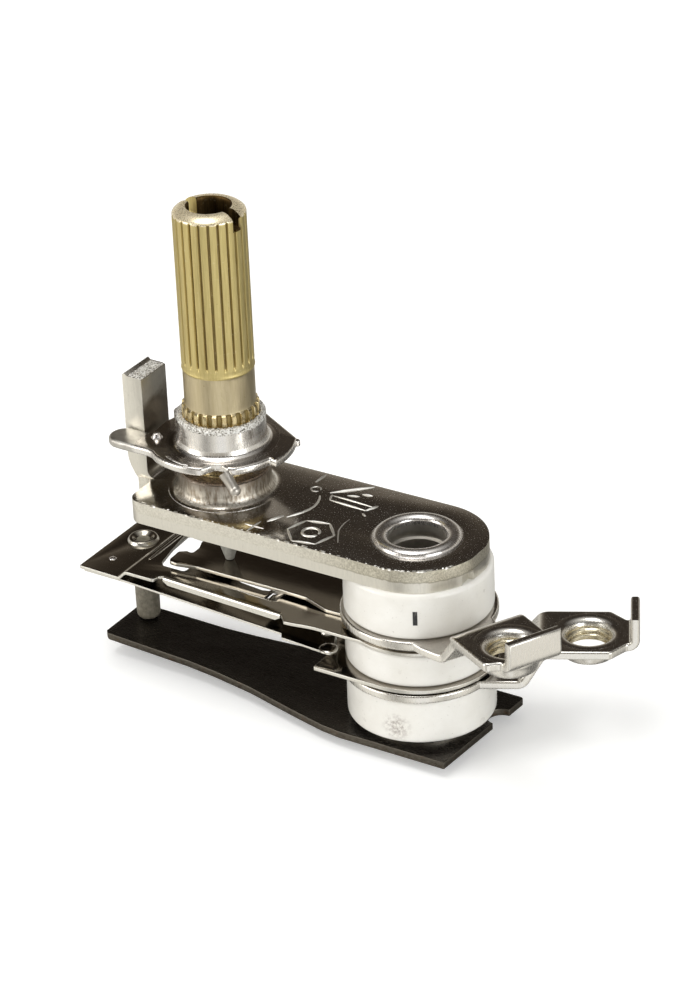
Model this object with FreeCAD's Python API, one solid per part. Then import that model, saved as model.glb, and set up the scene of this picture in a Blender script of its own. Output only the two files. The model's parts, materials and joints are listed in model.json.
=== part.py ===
import FreeCAD, Part
import math
import os

# Adjustable snap-acting bimetal thermostat. Millimetres, +Z up.
# Origin: the mounting eyelet's axis at the top face of the bracket plate.
# The control shaft stands at negative X, the two screw terminals are at positive X.

Vector = FreeCAD.Vector
os.makedirs("parts", exist_ok=True)

# ---------------------------------------------------------------- shared sizes
fit_gap = 0.05                  # radial play of a hole round its pin
plate_t = 2.0                   # bracket sheet

# Control shaft and the stop disc pressed onto it
shaft_x = -18.5
shaft_r = 3.0
press_r = 3.18                  # seat in the stop disc
stem_r = 2.5                    # adjusting thread
disc_z = (4.4, 3.65)

# Hollow rivet and the parts stacked on it
rivet_r = 3.0
rivet_bore_r = 2.5
rivet_hole_r = rivet_r + fit_gap
live_bore_r = 3.90              # holes in the live parts and the insulators
sleeve_r = 3.85
insulator_r = 6.18
washer_r = 4.8
live_head_r = 6.5               # round heads of the terminals and the fixed blade

# The stack from the bracket down, each layer as (top, bottom)
top_insulator_z = (-plate_t, -6.15)
upper_terminal_z = (top_insulator_z[1], -6.93)
arm_z = (-6.95, -7.28)
carrier_z = (-7.30, -7.60)
middle_insulator_z = (carrier_z[1], -10.60)
fixed_z = (middle_insulator_z[1], -10.95)
shim_z = (fixed_z[1], -11.15)
lower_terminal_z = (shim_z[1], -11.90)
bottom_insulator_z = (lower_terminal_z[1], -15.90)
spacer_z = (bottom_insulator_z[1], -16.60)
bimetal_t = 0.65
bimetal_z = (spacer_z[1], spacer_z[1] - bimetal_t)
washer_z = (bimetal_z[1], bimetal_z[1] - 0.45)

# Each flexing part is two solids with a narrow gap between them
clamped_end_x = -6.25
free_end_x = -6.31

# Carrier end plate and the contact leaf under it
carrier_t = carrier_z[0] - carrier_z[1]
end_plate_z = -8.30             # top face
leaf_t = 0.20
leaf_top = end_plate_z - carrier_t
leaf_bottom = leaf_top - leaf_t
weld_x = -26.0
leaf_slope = math.degrees(math.atan2(0.98, 20.0))

# Contacts and push pin
contact_xy = (-7.20, -2.75)
contact_shank_r = 0.35
pin_xy = (-28.35, 1.30)
stud_r = 0.75                   # upper, thinner end of the push pin

# Bimetal: level as far as the bend, then rising to its left end
bimetal_bend_x = -9.5
bimetal_left_x = -30.18
bimetal_rise = 0.72

through_z = (-30, 10)           # spans every part that is cut right through


# ---------------------------------------------------------------- helpers
def save(shape, name):
    shape = shape.removeSplitter()
    if shape.ShapeType == "Compound" and len(shape.Solids) == 1:
        shape = shape.Solids[0]
    if not shape.isValid():
        shape.fix(1e-6, 1e-6, 1e-6)
    shape.exportStep("parts/%s.step" % name)


def cylinder(radius, z0, z1, x=0.0, y=0.0):
    low, high = sorted((z0, z1))
    return Part.makeCylinder(radius, high - low, Vector(x, y, low))


def box(x0, x1, y0, y1, z0, z1):
    return Part.makeBox(x1 - x0, y1 - y0, z1 - z0, Vector(x0, y0, z0))


def closed_face(points):
    return Part.Face(Part.makePolygon(points + points[:1]))


def prism(points, z0, z1):
    """Plan of (x, y) points raised between two levels."""
    low, high = sorted((z0, z1))
    return closed_face([Vector(x, y, low) for x, y in points]).extrude(Vector(0, 0, high - low))


def side_prism(points, y0, y1):
    """Side view of (x, z) points carried from y0 to y1."""
    return closed_face([Vector(x, y0, z) for x, z in points]).extrude(Vector(0, y1 - y0, 0))


def revolve(points, x=0.0, y=0.0):
    """Closed (radius, z) outline turned about the vertical axis through (x, y)."""
    face = closed_face([Vector(x + radius, y, z) for radius, z in points])
    return face.revolve(Vector(x, y, 0), Vector(0, 0, 1), 360)


def polar(radius, angle, x=0.0, y=0.0):
    turn = math.radians(angle)
    return (x + radius * math.cos(turn), y + radius * math.sin(turn))


def arc(x, y, radius, start, end, steps):
    return [polar(radius, start + (end - start) * i / steps, x, y) for i in range(steps + 1)]


def mirrored(half):
    """Outline symmetric about the X axis, from its +Y half."""
    return [(x, -y) for x, y in half] + half[::-1]


def fuse(first, *others):
    for other in others:
        first = first.fuse(other)
    return first


def drilled(shape, radius, x=0.0, y=0.0):
    return shape.cut(cylinder(radius, *through_z, x, y))


def punched(shape, points):
    return shape.cut(prism(points, *through_z))


def trimmed(shape, points):
    """Keep only what lies inside the plan."""
    return shape.common(prism(points, *through_z))


def ring(outer_r, inner_r, levels):
    return drilled(cylinder(outer_r, *levels), inner_r)


def flared_boss(radius, flare, bottom, base, top, chamfer, step):
    """Boss on the shaft axis, flaring out to a base; step is degrees per flare facet."""
    foot_r = radius + flare
    return revolve(
        [(0, bottom), (foot_r, bottom), (foot_r, base)]
        + arc(foot_r, base + flare, flare, -90 - step, -180, 90 // step - 1)
        + [(radius, top - chamfer), (radius - chamfer, top), (0, top)], shaft_x)


def save_split(shape, root_name, free_name):
    """Save the clamped root and the free length as separate solids."""
    save(shape.common(box(clamped_end_x, 10, -10, 10, -30, 10)), root_name)
    save(shape.common(box(-40, free_end_x, -10, 10, -30, 10)), free_name)


# ---------------------------------------------------------------- mounting bracket
def mounting_bracket():
    half_width = 5.82
    left = -24.5
    flat_x = 5.72               # small sheared flat on the round right end
    corner_r = 1.2
    bend_r = 0.7                # inside of the bend, and the corners beside the post
    post_left, post_top = -27.0, 9.1
    post_y0, post_y1 = -1.80, 1.75
    bend_x = post_left + 2.6
    post_right = bend_x - bend_r

    flat_angle = math.degrees(math.acos(flat_x / half_width))
    outline = arc(0, 0, half_width, flat_angle, 90, 20)
    outline += arc(left + corner_r, half_width - corner_r, corner_r, 90, 180, 8)
    outline += arc(left - bend_r, post_y1 + 0.9, bend_r, 0, -90, 6)
    outline += [(left - 1.45, post_y1 + 0.2), (left - 1.45, post_y0 - 0.2)]
    outline += arc(left - bend_r, post_y0 - 0.9, bend_r, 90, 0, 6)
    outline += arc(left + corner_r, -half_width + corner_r, corner_r, 180, 270, 8)
    outline += arc(0, 0, half_width, -90, -flat_angle, 20)
    plate = prism(outline, -plate_t, 0.0)
    # The bent post takes over to the left of the bend line
    plate = plate.cut(box(left - 2.0, bend_x, post_y0 - 0.01, post_y1 + 0.01, -3, 1))

    # Post side view (x, z): inside of the bend, up, over the tip, down the outside
    side = [(bend_x + 0.8, 0.0), (bend_x, 0.0)]
    side += arc(bend_x, bend_r, bend_r, -95, -175, 10)
    side += [
        (post_right, bend_r), (post_right, post_top - 0.1), (post_right - 0.25, post_top),
        (post_left + 0.45, post_top + 0.02), (post_left + 0.2, post_top + 0.22),
        (post_left, post_top + 0.08), (post_left, 1.9), (post_left + 0.06, 1.3),
        (post_left + 0.25, 0.75), (post_left + 0.6, 0.1), (post_left + 1.15, -0.6),
        (post_left + 1.85, -1.3), (bend_x - 0.2, -1.75), (bend_x + 0.1, -plate_t),
        (bend_x + 0.8, -plate_t)]
    post = side_prism(side, post_y0, post_y1)

    neck = flared_boss(radius=3.9, flare=0.9, bottom=-plate_t, base=0.0, top=2.2,
                       chamfer=0.25, step=15)
    bracket = fuse(plate, post, neck)
    bracket = drilled(bracket, stem_r + fit_gap, shaft_x)
    bracket = drilled(bracket, rivet_hole_r)
    # Nick in the lower half of the sheared end
    nick = [(6.2, -2.35), (5.28, -2.15), (5.28, -1.0), (6.2, -0.8)]
    return bracket.cut(prism(nick, -plate_t - 1, -1.15))


# ---------------------------------------------------------------- control shaft
def on_shaft(shape, angle):
    """Turn a shape made at the origin and move it to the shaft axis."""
    shape.rotate(Vector(0, 0, 0), Vector(0, 0, 1), angle)
    shape.translate(Vector(shaft_x, 0, 0))
    return shape


def control_shaft():
    top = 25.4
    tip_hole_r = 1.0
    bore_r = 1.78
    bore_lead = 0.22            # height of the cone at the bore's mouth
    groove_count = 24
    groove_width, groove_depth = 0.17, 0.28
    groove_phase = 2.0          # degrees
    slot_half, slot_depth = 0.45, 1.4

    shaft = revolve([
        (tip_hole_r, -1.7), (0, -1.7), (0, top), (2.62, top), (shaft_r, 24.9),
        (shaft_r, 11.75), (2.95, 11.3), (2.95, 11.2), (2.95, 8.05), (press_r, 7.95),
        (press_r, 3.0), (stem_r, 2.8), (stem_r, -3.3), (stem_r - 0.3, -3.6),
        (tip_hole_r, -3.6)], shaft_x)
    shaft = shaft.cut(cylinder(bore_r, 16.5, 30, shaft_x))
    shaft = shaft.cut(Part.makeCone(bore_r, 2.0, bore_lead, Vector(shaft_x, 0, top - bore_lead)))
    cutters = []
    for i in range(groove_count):
        angle = 360.0 * i / groove_count + groove_phase
        groove = box(shaft_r - groove_depth, shaft_r + 0.6,
                     -groove_width / 2, groove_width / 2, 12.0, 26.0)
        # V-notch at the top of the pressed seat
        notch = prism([(3.38, -0.24), (3.38, 0.24), (3.0, 0.0)], 7.0, 8.15)
        cutters += [on_shaft(groove, angle), on_shaft(notch, angle + 7.5)]
    slot = box(-4, 4, -slot_half, slot_half, top - slot_depth, top + 2)
    cutters.append(on_shaft(slot, -8.0))
    return shaft.cut(Part.makeCompound(cutters))


def shaft_tip_bead():
    """Ceramic tip in the shaft's lower end, just clear of the adjusting arm."""
    tip_z = arm_z[0] + 0.02
    return revolve([(0, -1.8), (0.95, -1.8), (0.95, -5.1), (0.86, -5.3),
                    (0.46, tip_z + 0.12), (0.34, tip_z), (0, tip_z)], shaft_x)


# ---------------------------------------------------------------- stop disc
def stop_disc():
    top, bottom = disc_z
    # Plan (x, y) about the shaft axis, clockwise from the +X +Y side
    plan = [(5.3, 3.1)]
    plan += [polar(6.1, a) for a in (24, 16, 8, 0, -6, -11)]
    plan += [polar(5.44, a) for a in (-11.5, -20, -30, -40, -48)]
    plan += [(3.17, -4.17), (2.45, -3.98), (1.92, -4.04), (1.44, -5.08)]
    plan += [polar(radius, a) for radius, a in (
        (5.5, -78), (5.65, -86), (5.8, -95), (5.9, -104), (6.0, -114), (6.1, -124))]
    plan += [(-4.0, -4.62), (-4.45, -4.5), (-7.3, -4.5)]
    plan += arc(-7.65, -3.15, 1.35, -105, -255, 14)
    plan += [(-7.3, -1.84), (-6.3, -1.84), (-5.85, -1.5), (-5.8, 1.6)]
    plan += [polar(6.0, a) for a in (160, 150, 140, 130, 120, 110, 100, 92)]
    plan += [(0.8, 5.66)]
    disc = prism([(x + shaft_x, y) for x, y in plan], bottom, top)

    collar = flared_boss(radius=3.65, flare=0.45, bottom=bottom, base=top, top=7.0,
                         chamfer=0.12, step=30)

    # Round-ended tongue sloping down from the -Y notch, on a short root block
    tongue_r, tongue_length = 0.38, 1.95
    tongue_start = Vector(shaft_x + 1.95, -4.35, 4.0)
    tongue_axis = Vector(1.5, -0.35, -0.85)
    tongue_unit = Vector(0.8525, -0.1989, -0.4831)      # the axis at unit length
    tongue = Part.makeCylinder(tongue_r, tongue_length, tongue_start, tongue_axis)
    tongue = tongue.fuse(Part.makeSphere(tongue_r, tongue_start + tongue_unit * tongue_length))
    tongue_root = box(shaft_x + 1.6, shaft_x + 2.6, -4.5, -3.4, bottom, top - 0.1)

    nub = cylinder(0.35, top - 0.3, top + 0.35, shaft_x - 5.0, -2.3)

    # Round-ended ear at the +X edge
    ear_r, ear_y, ear_x = 0.26, 2.85, shaft_x + 5.52
    ear_z = (bottom + 0.1, top - 0.1)
    ear = cylinder(ear_r, *ear_z, ear_x, ear_y)
    ear = ear.fuse(box(shaft_x + 4.9, ear_x, ear_y - ear_r, ear_y + ear_r, *ear_z))

    # Upright lug at the -X edge
    lug = side_prism([(-24.20, top - 0.2), (-24.20, 5.25), (-24.0, 5.4), (-23.45, 5.4),
                      (-23.3, 5.2), (-23.3, top - 0.2)], 1.15, 2.1)

    disc = fuse(disc, collar, tongue, tongue_root, nub, ear, lug)
    return drilled(disc, press_r)if shaft_x == 0 else drilled(disc, press_r, shaft_x)


# ---------------------------------------------------------------- stack on the rivet
def insulator(levels):
    """Ceramic ring with both outer rims rounded."""
    body = ring(insulator_r, live_bore_r, levels)
    rims = [edge for edge in body.Edges
            if edge.Curve.TypeId == "Part::GeomCircle"
            and abs(edge.Curve.Radius - insulator_r) < 1e-3]
    return body.makeFillet(0.35, rims)


def hollow_rivet():
    """Eyelet rolled over above the bracket and below the washer."""
    low = washer_z[1]
    return revolve([
        (rivet_bore_r, 0.1), (2.82, 0.42), (3.25, 0.45), (3.55, 0.3), (3.62, 0.0),
        (rivet_r, 0.0), (rivet_r, low), (4.0, low), (4.15, low - 0.2), (3.9, low - 0.42),
        (3.2, low - 0.45), (2.7, low - 0.3), (rivet_bore_r, low + 0.2)])


# ---------------------------------------------------------------- terminals
def terminal(levels, plate_z, angle, rear_x, hole_x, end_x, ramp, neck, lug_half, lug_height):
    """Terminal made along +X, then turned by angle about the rivet axis.

    plate_z: top of the screw plate; ramp: x where the ramp to it starts and ends;
    neck: (x, half width) points up to the plate, which starts at rear_x.
    """
    plate_half = 3.35
    screw_r = 1.65
    top, bottom = levels
    thick = top - bottom
    ramp_start, ramp_end = ramp
    lug_top = plate_z + lug_height
    under = plate_z - thick
    lug_x = end_x - thick       # inner face of the upturned lug

    # Side view (x, z): along the top, then back underneath
    strip = side_prism([
        (0.0, top), (ramp_start, top), (ramp_end, plate_z), (lug_x - 0.45, plate_z),
        (lug_x - 0.13, plate_z + 0.13), (lug_x, plate_z + 0.45), (lug_x, lug_top),
        (end_x, lug_top), (end_x, plate_z), (end_x - 0.13, plate_z - 0.32),
        (end_x - 0.35, plate_z - 0.6), (end_x - 0.75, under), (ramp_end + 0.33, under),
        (ramp_start + 0.33, bottom), (0.0, bottom)], -5.5, 5.5)
    strip = trimmed(strip, mirrored(neck + [
        (rear_x, plate_half), (15.7, plate_half), (lug_x - 0.35, lug_half + 0.25),
        (lug_x - 0.1, lug_half), (end_x + 0.2, lug_half)]))

    head = cylinder(live_head_r, top, bottom)
    boss = revolve([(0, plate_z - 0.1), (2.5, plate_z - 0.1), (2.5, under - 0.2),
                    (2.3, under - 0.9), (2.15, under - 1.15), (0, under - 1.15)], hole_x)
    body = drilled(fuse(head, strip, boss), live_bore_r)
    body = drilled(body, screw_r, hole_x)
    # Rounded mouth of the screw hole
    body = body.cut(revolve([
        (0, plate_z + 0.01), (2.2, plate_z + 0.01), (1.95, plate_z - 0.16),
        (1.75, plate_z - 0.4), (screw_r, plate_z - 0.7), (0, plate_z - 0.7)], hole_x))
    body.rotate(Vector(0, 0, 0), Vector(0, 0, 1), angle)
    return body


# ---------------------------------------------------------------- arms
def adjusting_arm():
    # Plan (x, y): out along the -Y edge, round the notched end, back along +Y
    arm = prism([
        (-4.0, -3.4), (-6.9, -3.4), (-9.4, -2.5), (-12.0, -2.4), (-20.3, -2.45),
        (-22.1, -2.8), (-22.75, -2.75), (-22.98, -2.4), (-23.05, -1.0), (-22.45, -0.6),
        (-21.85, -0.72), (-21.85, 0.34), (-22.2, 1.2), (-22.2, 2.5), (-22.0, 2.8),
        (-20.3, 2.45), (-12.0, 2.4), (-9.4, 2.5), (-6.9, 3.4), (-4.0, 3.4)], *arm_z)
    return drilled(arm.fuse(cylinder(6.0, *arm_z)), live_bore_r)


def carrier_arm():
    top, bottom = carrier_z
    free_z = -7.56              # top of the free length
    free_bottom = free_z - carrier_t
    settle_x = -9.6             # the free length is level from here
    step_start, step_end = -25.7, -26.6     # joggle down to the end plate
    end_x = -30.6
    flange_left, flange_right = -22.4, -10.4
    flange_t = 0.3
    left_y, right_y = 4.45, 5.0             # half widths at the flange ends

    carrier = side_prism([
        (0, top), (free_end_x, top), (settle_x, free_z), (step_start, free_z),
        (step_end, end_plate_z), (end_x, end_plate_z), (end_x, leaf_top),
        (step_end + 0.12, leaf_top), (step_start + 0.12, free_bottom),
        (settle_x, free_bottom), (free_end_x, bottom), (0, bottom)], -6, 6)
    carrier = trimmed(carrier, mirrored([
        (0, 5.8), (settle_x, 5.8), (-10.2, right_y), (flange_right, right_y),
        (flange_left, left_y), (flange_left - 0.3, 4.5), (flange_left - 0.5, 5.15),
        (step_end, 5.15), (end_x, 5.0)]))
    for side in (-1, 1):
        carrier = carrier.fuse(prism([
            (flange_right, side * right_y), (flange_left, side * left_y),
            (flange_left, side * (left_y - flange_t)),
            (flange_right, side * (right_y - flange_t))], free_z - 0.72, free_z - 0.02))
    carrier = drilled(carrier.fuse(cylinder(6.2, *carrier_z)), live_bore_r)
    # Window between the end plate and the flanged length
    carrier = punched(carrier, [(-24.9, 2.9), (-24.3, -0.4), (-23.9, -2.3),
                                (-23.45, -2.75), (-21.3, -2.75), (-21.3, 2.9)])
    # Lanced opening under the adjusting arm
    carrier = punched(carrier, [(-17.7, 2.3), (-17.7, -1.5), (-16.0, -2.05),
                                (-13.8, -2.3), (-13.2, -2.1), (-13.2, 2.3)])
    return drilled(carrier, stud_r, *pin_xy)


# ---------------------------------------------------------------- contact leaf
def sloped(shape):
    """Tilt a shape made level, about the top of the leaf at the weld."""
    shape.rotate(Vector(weld_x, 0, leaf_top), Vector(0, 1, 0), leaf_slope)
    return shape


def contact_leaf_foot():
    foot = box(-30.2, weld_x - 0.03, -4.9, 4.9, leaf_bottom, leaf_top)
    return drilled(foot, stud_r, *pin_xy)


def contact_leaf():
    left = weld_x + 0.03
    leaf = prism([(left, -4.95), (-10.3, -4.95), (-10.0, -5.5), (-5.2, -5.5), (-5.2, -4.3),
                  (-6.3, -1.5), (-7.5, -1.2), (-7.5, 4.95), (left, 4.95)],
                 leaf_bottom, leaf_top)
    leaf = drilled(leaf, 7.0)   # round clearance about the rivet stack
    leaf = drilled(leaf, contact_shank_r, *contact_xy)
    leaf = punched(leaf, [(-25.6, 4.2), (-25.3, -1.0), (-24.9, -1.4), (-20.8, -1.4),
                          (-20.8, 4.2)])
    leaf = punched(leaf, [(-19.3, 4.2), (-19.3, -0.9), (-14.0, -0.9), (-14.0, 4.2)])
    # Pressed dome at the +X -Y corner
    dome = revolve([(0, leaf_top - 0.05), (0.55, leaf_top - 0.05), (0.5, leaf_top + 0.12),
                    (0.3, leaf_top + 0.26), (0, leaf_top + 0.3)], -5.85, -4.85)
    return sloped(leaf.fuse(dome))


def moving_contact():
    face_z = leaf_bottom - 0.33
    return sloped(revolve([
        (0, leaf_top + 0.32), (0.3, leaf_top + 0.29), (0.52, leaf_top + 0.18),
        (0.6, leaf_top), (contact_shank_r, leaf_top), (contact_shank_r, leaf_bottom),
        (0.7, leaf_bottom), (0.7, face_z + 0.1), (0.6, face_z), (0, face_z)], *contact_xy))


# ---------------------------------------------------------------- fixed blade and contact
def fixed_contact_blade():
    blade = fuse(cylinder(live_head_r, *fixed_z), prism([
        (0, -live_head_r), (-6.3, -live_head_r), (-6.35, -3.95), (-8.3, -3.85),
        (-8.5, -3.65), (-8.55, 0.05), (-8.35, 0.3), (-5.0, 0.3), (0, -2.6)], *fixed_z))
    return drilled(drilled(blade, live_bore_r), contact_shank_r, *contact_xy)


def fixed_contact(face_z):
    top, bottom = fixed_z
    return revolve([
        (0, face_z), (0.62, face_z), (0.72, face_z - 0.1), (0.72, top),
        (contact_shank_r, top), (contact_shank_r, bottom), (0.55, bottom),
        (0.5, bottom - 0.12), (0.3, bottom - 0.17), (0, bottom - 0.18)], *contact_xy)


# ---------------------------------------------------------------- bimetal
def bimetal():
    top, bottom = bimetal_z
    left_z = top + bimetal_rise
    strip = side_prism([
        (7.0, top), (bimetal_bend_x, top), (bimetal_left_x, left_z),
        (bimetal_left_x, left_z - bimetal_t), (bimetal_bend_x, bottom), (7.0, bottom)], -7, 7)
    # Plan (x, y): -Y edge leftwards, then +Y edge back
    strip = trimmed(strip, [
        (5.5, -5.75), (5.3, -5.95), (-4.5, -5.95), (-6.2, -5.75), (-10.5, -4.75),
        (-14.5, -3.82), (-18.5, -3.25), (-21.5, -3.0), (-29.8, -2.85), (-30.05, -2.72),
        (bimetal_left_x, -2.5), (bimetal_left_x, 2.5), (-30.05, 2.7), (-29.8, 2.86),
        (-21.5, 3.1), (-18.5, 3.4), (-14.5, 3.95), (-10.5, 4.7), (-6.2, 5.7),
        (-4.5, 5.9), (6.1, 5.9), (6.35, 5.6)])
    return drilled(drilled(strip, rivet_hole_r), 1.2, 6.15, 2.4)


# ---------------------------------------------------------------- push pin and ferrule
def push_pin():
    """Stands just above the sloping bimetal and carries the carrier's end plate."""
    pin_r = 1.05
    slope_share = (bimetal_bend_x - pin_xy[0]) / (bimetal_bend_x - bimetal_left_x)
    low = bimetal_z[0] + bimetal_rise * slope_share + 0.05
    return revolve([
        (0, low), (0.5, low + 0.02), (0.85, low + 0.12), (pin_r, low + 0.32),
        (pin_r, leaf_bottom), (stud_r, leaf_bottom), (stud_r, end_plate_z + 0.25),
        (stud_r - 0.12, end_plate_z + 0.34), (0, end_plate_z + 0.34)], *pin_xy)


def pin_ferrule():
    low = end_plate_z
    return revolve([(stud_r, low), (1.25, low), (1.25, low + 0.12), (1.1, low + 0.28),
                    (stud_r + 0.08, low + 0.3), (stud_r, low + 0.22)], *pin_xy)


# ---------------------------------------------------------------- build
for build in (mounting_bracket, control_shaft, shaft_tip_bead, stop_disc, hollow_rivet,
              contact_leaf_foot, contact_leaf, fixed_contact_blade, push_pin, pin_ferrule):
    save(build(), build.__name__)

save(insulator(top_insulator_z), "top_insulator")
save(insulator(middle_insulator_z), "middle_insulator")
save(insulator(bottom_insulator_z), "bottom_insulator")
sleeve_z = (top_insulator_z[0] - 0.03, bottom_insulator_z[1] + 0.03)
save(ring(sleeve_r, rivet_hole_r, sleeve_z), "insulating_sleeve")
save(ring(washer_r, rivet_hole_r, washer_z), "rivet_washer")
save(ring(washer_r, rivet_hole_r, spacer_z), "stack_spacer")
save(ring(5.4, live_bore_r, shim_z), "contact_shim")

save(terminal(upper_terminal_z, plate_z=-3.10, angle=-28.5, rear_x=10.5, hole_x=13.9,
              end_x=17.1, ramp=(8.0, 10.4), lug_half=2.45, lug_height=2.0,
              neck=[(0, 4.0), (5.4, 3.7), (6.3, 3.6), (8.2, 2.9), (9.8, 2.7)]),
     "upper_terminal")
save(terminal(lower_terminal_z, plate_z=-8.8, angle=27.4, rear_x=10.3, hole_x=13.75,
              end_x=17.9, ramp=(8.3, 9.9), lug_half=1.9, lug_height=2.2,
              neck=[(0, 4.3), (4.7, 4.15), (8.5, 4.15), (9.6, 3.6)]),
     "lower_terminal")

save_split(adjusting_arm(), "adjusting_arm_root", "adjusting_arm")
save_split(carrier_arm(), "carrier_arm_root", "carrier_arm")
save_split(bimetal(), "bimetal_root", "bimetal_strip")

# The fixed contact's face stops just below the moving contact
moving = moving_contact()
save(moving, "moving_contact")
save(fixed_contact(moving.BoundBox.ZMin - 0.015), "fixed_contact")
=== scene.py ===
"""Adjustable bimetal thermostat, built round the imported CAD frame.

Rings, terminals and spring strips are stacked on a hollow rivet that stands on the z axis.
The bracket plate is on top, with its upper face at z = 0, and the stack hangs below it.
The strips and the plate run towards -x, where the control shaft rises through the plate.
Helper lengths are millimetres; objects are in metres.
"""

import json
import math

import bmesh
import bpy
import numpy as np
from mathutils import Matrix, Vector, noise


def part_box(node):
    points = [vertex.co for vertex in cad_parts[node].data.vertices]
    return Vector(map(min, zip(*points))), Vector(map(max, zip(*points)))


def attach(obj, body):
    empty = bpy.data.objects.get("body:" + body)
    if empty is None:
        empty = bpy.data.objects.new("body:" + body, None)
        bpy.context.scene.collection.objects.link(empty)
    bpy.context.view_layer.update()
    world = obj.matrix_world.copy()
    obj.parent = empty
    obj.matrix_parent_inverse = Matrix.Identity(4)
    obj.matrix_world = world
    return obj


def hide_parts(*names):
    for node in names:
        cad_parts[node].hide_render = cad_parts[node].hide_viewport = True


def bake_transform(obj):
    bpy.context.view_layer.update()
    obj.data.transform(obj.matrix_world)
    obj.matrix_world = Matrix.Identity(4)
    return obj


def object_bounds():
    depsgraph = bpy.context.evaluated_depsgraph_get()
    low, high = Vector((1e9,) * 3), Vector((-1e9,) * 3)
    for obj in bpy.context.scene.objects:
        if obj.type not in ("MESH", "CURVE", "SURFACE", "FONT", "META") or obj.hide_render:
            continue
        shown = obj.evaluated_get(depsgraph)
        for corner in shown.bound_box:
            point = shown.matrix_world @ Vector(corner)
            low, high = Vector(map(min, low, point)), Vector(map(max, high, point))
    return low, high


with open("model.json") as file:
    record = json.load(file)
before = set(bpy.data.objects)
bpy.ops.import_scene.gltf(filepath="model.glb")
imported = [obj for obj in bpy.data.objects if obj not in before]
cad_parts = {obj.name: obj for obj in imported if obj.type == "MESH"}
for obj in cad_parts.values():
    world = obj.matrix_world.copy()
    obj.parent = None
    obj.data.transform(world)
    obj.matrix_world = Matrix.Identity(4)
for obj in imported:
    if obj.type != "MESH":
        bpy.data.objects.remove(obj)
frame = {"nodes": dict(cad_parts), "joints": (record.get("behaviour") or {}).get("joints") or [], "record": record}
nodes = frame["nodes"]
record = frame["record"]
cad_lo, cad_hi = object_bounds()
scene = bpy.context.scene

MM = 0.001  # metres in a millimetre
PLATE_Z = 0.0  # upper face of the bracket plate
BORE = 3.92  # radius of the bore through rings, terminals and strips


def box_mm(node):
    low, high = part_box(node)
    return [c / MM for c in low], [c / MM for c in high]


joints = {joint["name"]: joint for joint in frame["joints"]}
mounts = {mount["name"]: mount for mount in record["mounts"]}
SHAFT_X = joints["shaft_turn"]["pos_m"][0] / MM  # shaft axis
FLEX_X = joints["arm_flex"]["pos_m"][0] / MM  # where the clamped strips start to bend
WELD_X = joints["contact_snap"]["pos_m"][0] / MM  # where the contact leaf starts to bend

plate_lo, plate_hi = box_mm("mounting_bracket")
top_lo, top_hi = box_mm("top_insulator")
ring_radius = (top_hi[0] - top_lo[0]) / 2


# ---------------------------------------------------------------- outlines
def clamp(value):
    return max(0.0, min(1.0, value))


def smooth_step(value):
    value = clamp(value)
    return value * value * (3 - 2 * value)


def polar(radius, degrees, x=0.0, y=0.0):
    angle = math.radians(degrees)
    return x + radius * math.cos(angle), y + radius * math.sin(angle)


def arc(radius, start, stop, steps, x=0.0, y=0.0):
    return [polar(radius, start + (stop - start) * i / steps, x, y) for i in range(steps + 1)]


def circle(radius, count, x=0.0, y=0.0):
    return arc(radius, 0, 360 - 360 / count, count - 1, x, y)


def rounded(corners, steps=5, closed=True):
    """Corners given as (x, y, radius) become arcs."""
    points = []
    count = len(corners)
    for i, corner in enumerate(corners):
        radius = corner[2] if len(corner) > 2 else 0.0
        if radius <= 0 or (not closed and i in (0, count - 1)):
            points.append((corner[0], corner[1]))
            continue
        before, here, after = (Vector(corners[k][:2]) for k in (i - 1, i, (i + 1) % count))
        back, ahead = before - here, after - here
        reach = (back.length * 0.49, ahead.length * 0.49)
        back.normalize()
        ahead.normalize()
        angle = math.acos(max(-1.0, min(1.0, back.dot(ahead))))
        if angle > 3.12 or angle < 1e-3:
            points.append((corner[0], corner[1]))
            continue
        setback = min(radius / math.tan(angle / 2), *reach)
        radius = setback * math.tan(angle / 2)
        first, last = here + back * setback, here + ahead * setback
        centre = here + (back + ahead).normalized() * (radius / math.sin(angle / 2))
        start = math.atan2(first.y - centre.y, first.x - centre.x)
        stop = math.atan2(last.y - centre.y, last.x - centre.x)
        sweep = (stop - start + math.pi) % (2 * math.pi) - math.pi
        for k in range(steps + 1):
            turn = start + sweep * k / steps
            points.append((centre.x + radius * math.cos(turn), centre.y + radius * math.sin(turn)))
    return points


def tangent(path, i):
    return (path[min(i + 1, len(path) - 1)] - path[max(i - 1, 0)]).normalized()


# ---------------------------------------------------------------- meshes
def finish_mesh(mesh, smooth):
    bm = bmesh.new()
    bm.from_mesh(mesh)
    bmesh.ops.remove_doubles(bm, verts=bm.verts, dist=1e-7)
    bmesh.ops.recalc_face_normals(bm, faces=bm.faces)
    bm.to_mesh(mesh)
    bm.free()
    for face in mesh.polygons:
        face.use_smooth = True
    mesh.set_sharp_from_angle(angle=math.radians(smooth))


def add_object(name, data):
    made = bpy.data.objects.new(name, data)
    scene.collection.objects.link(made)
    return made


def piece(name, mesh, material, slot, body=None, blend=None, replaces=(), smooth=35):
    """Finished object that rides on one body, or, given blend = (a, b, x0, x1), is baked in place unattached; the
    four blend values are not used.
    """
    finish_mesh(mesh, smooth)
    made = add_object(name, mesh)
    mesh.materials.clear()
    mesh.materials.append(material)
    if blend:
        fixed, moving, x0, x1 = blend
        x0 * MM
        x1 * MM
        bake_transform(made)
    else:
        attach(made, body)
    if replaces:
        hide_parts(*replaces)
    return made


def mesh_from(name, verts, faces):
    mesh = bpy.data.meshes.new(name)
    mesh.from_pydata([tuple(c * MM for c in vert) for vert in verts], [], faces)
    return mesh


def join(name, *meshes):
    bm = bmesh.new()
    for mesh in meshes:
        bm.from_mesh(mesh)
    joined = bpy.data.meshes.new(name)
    bm.to_mesh(joined)
    bm.free()
    return joined


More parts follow.
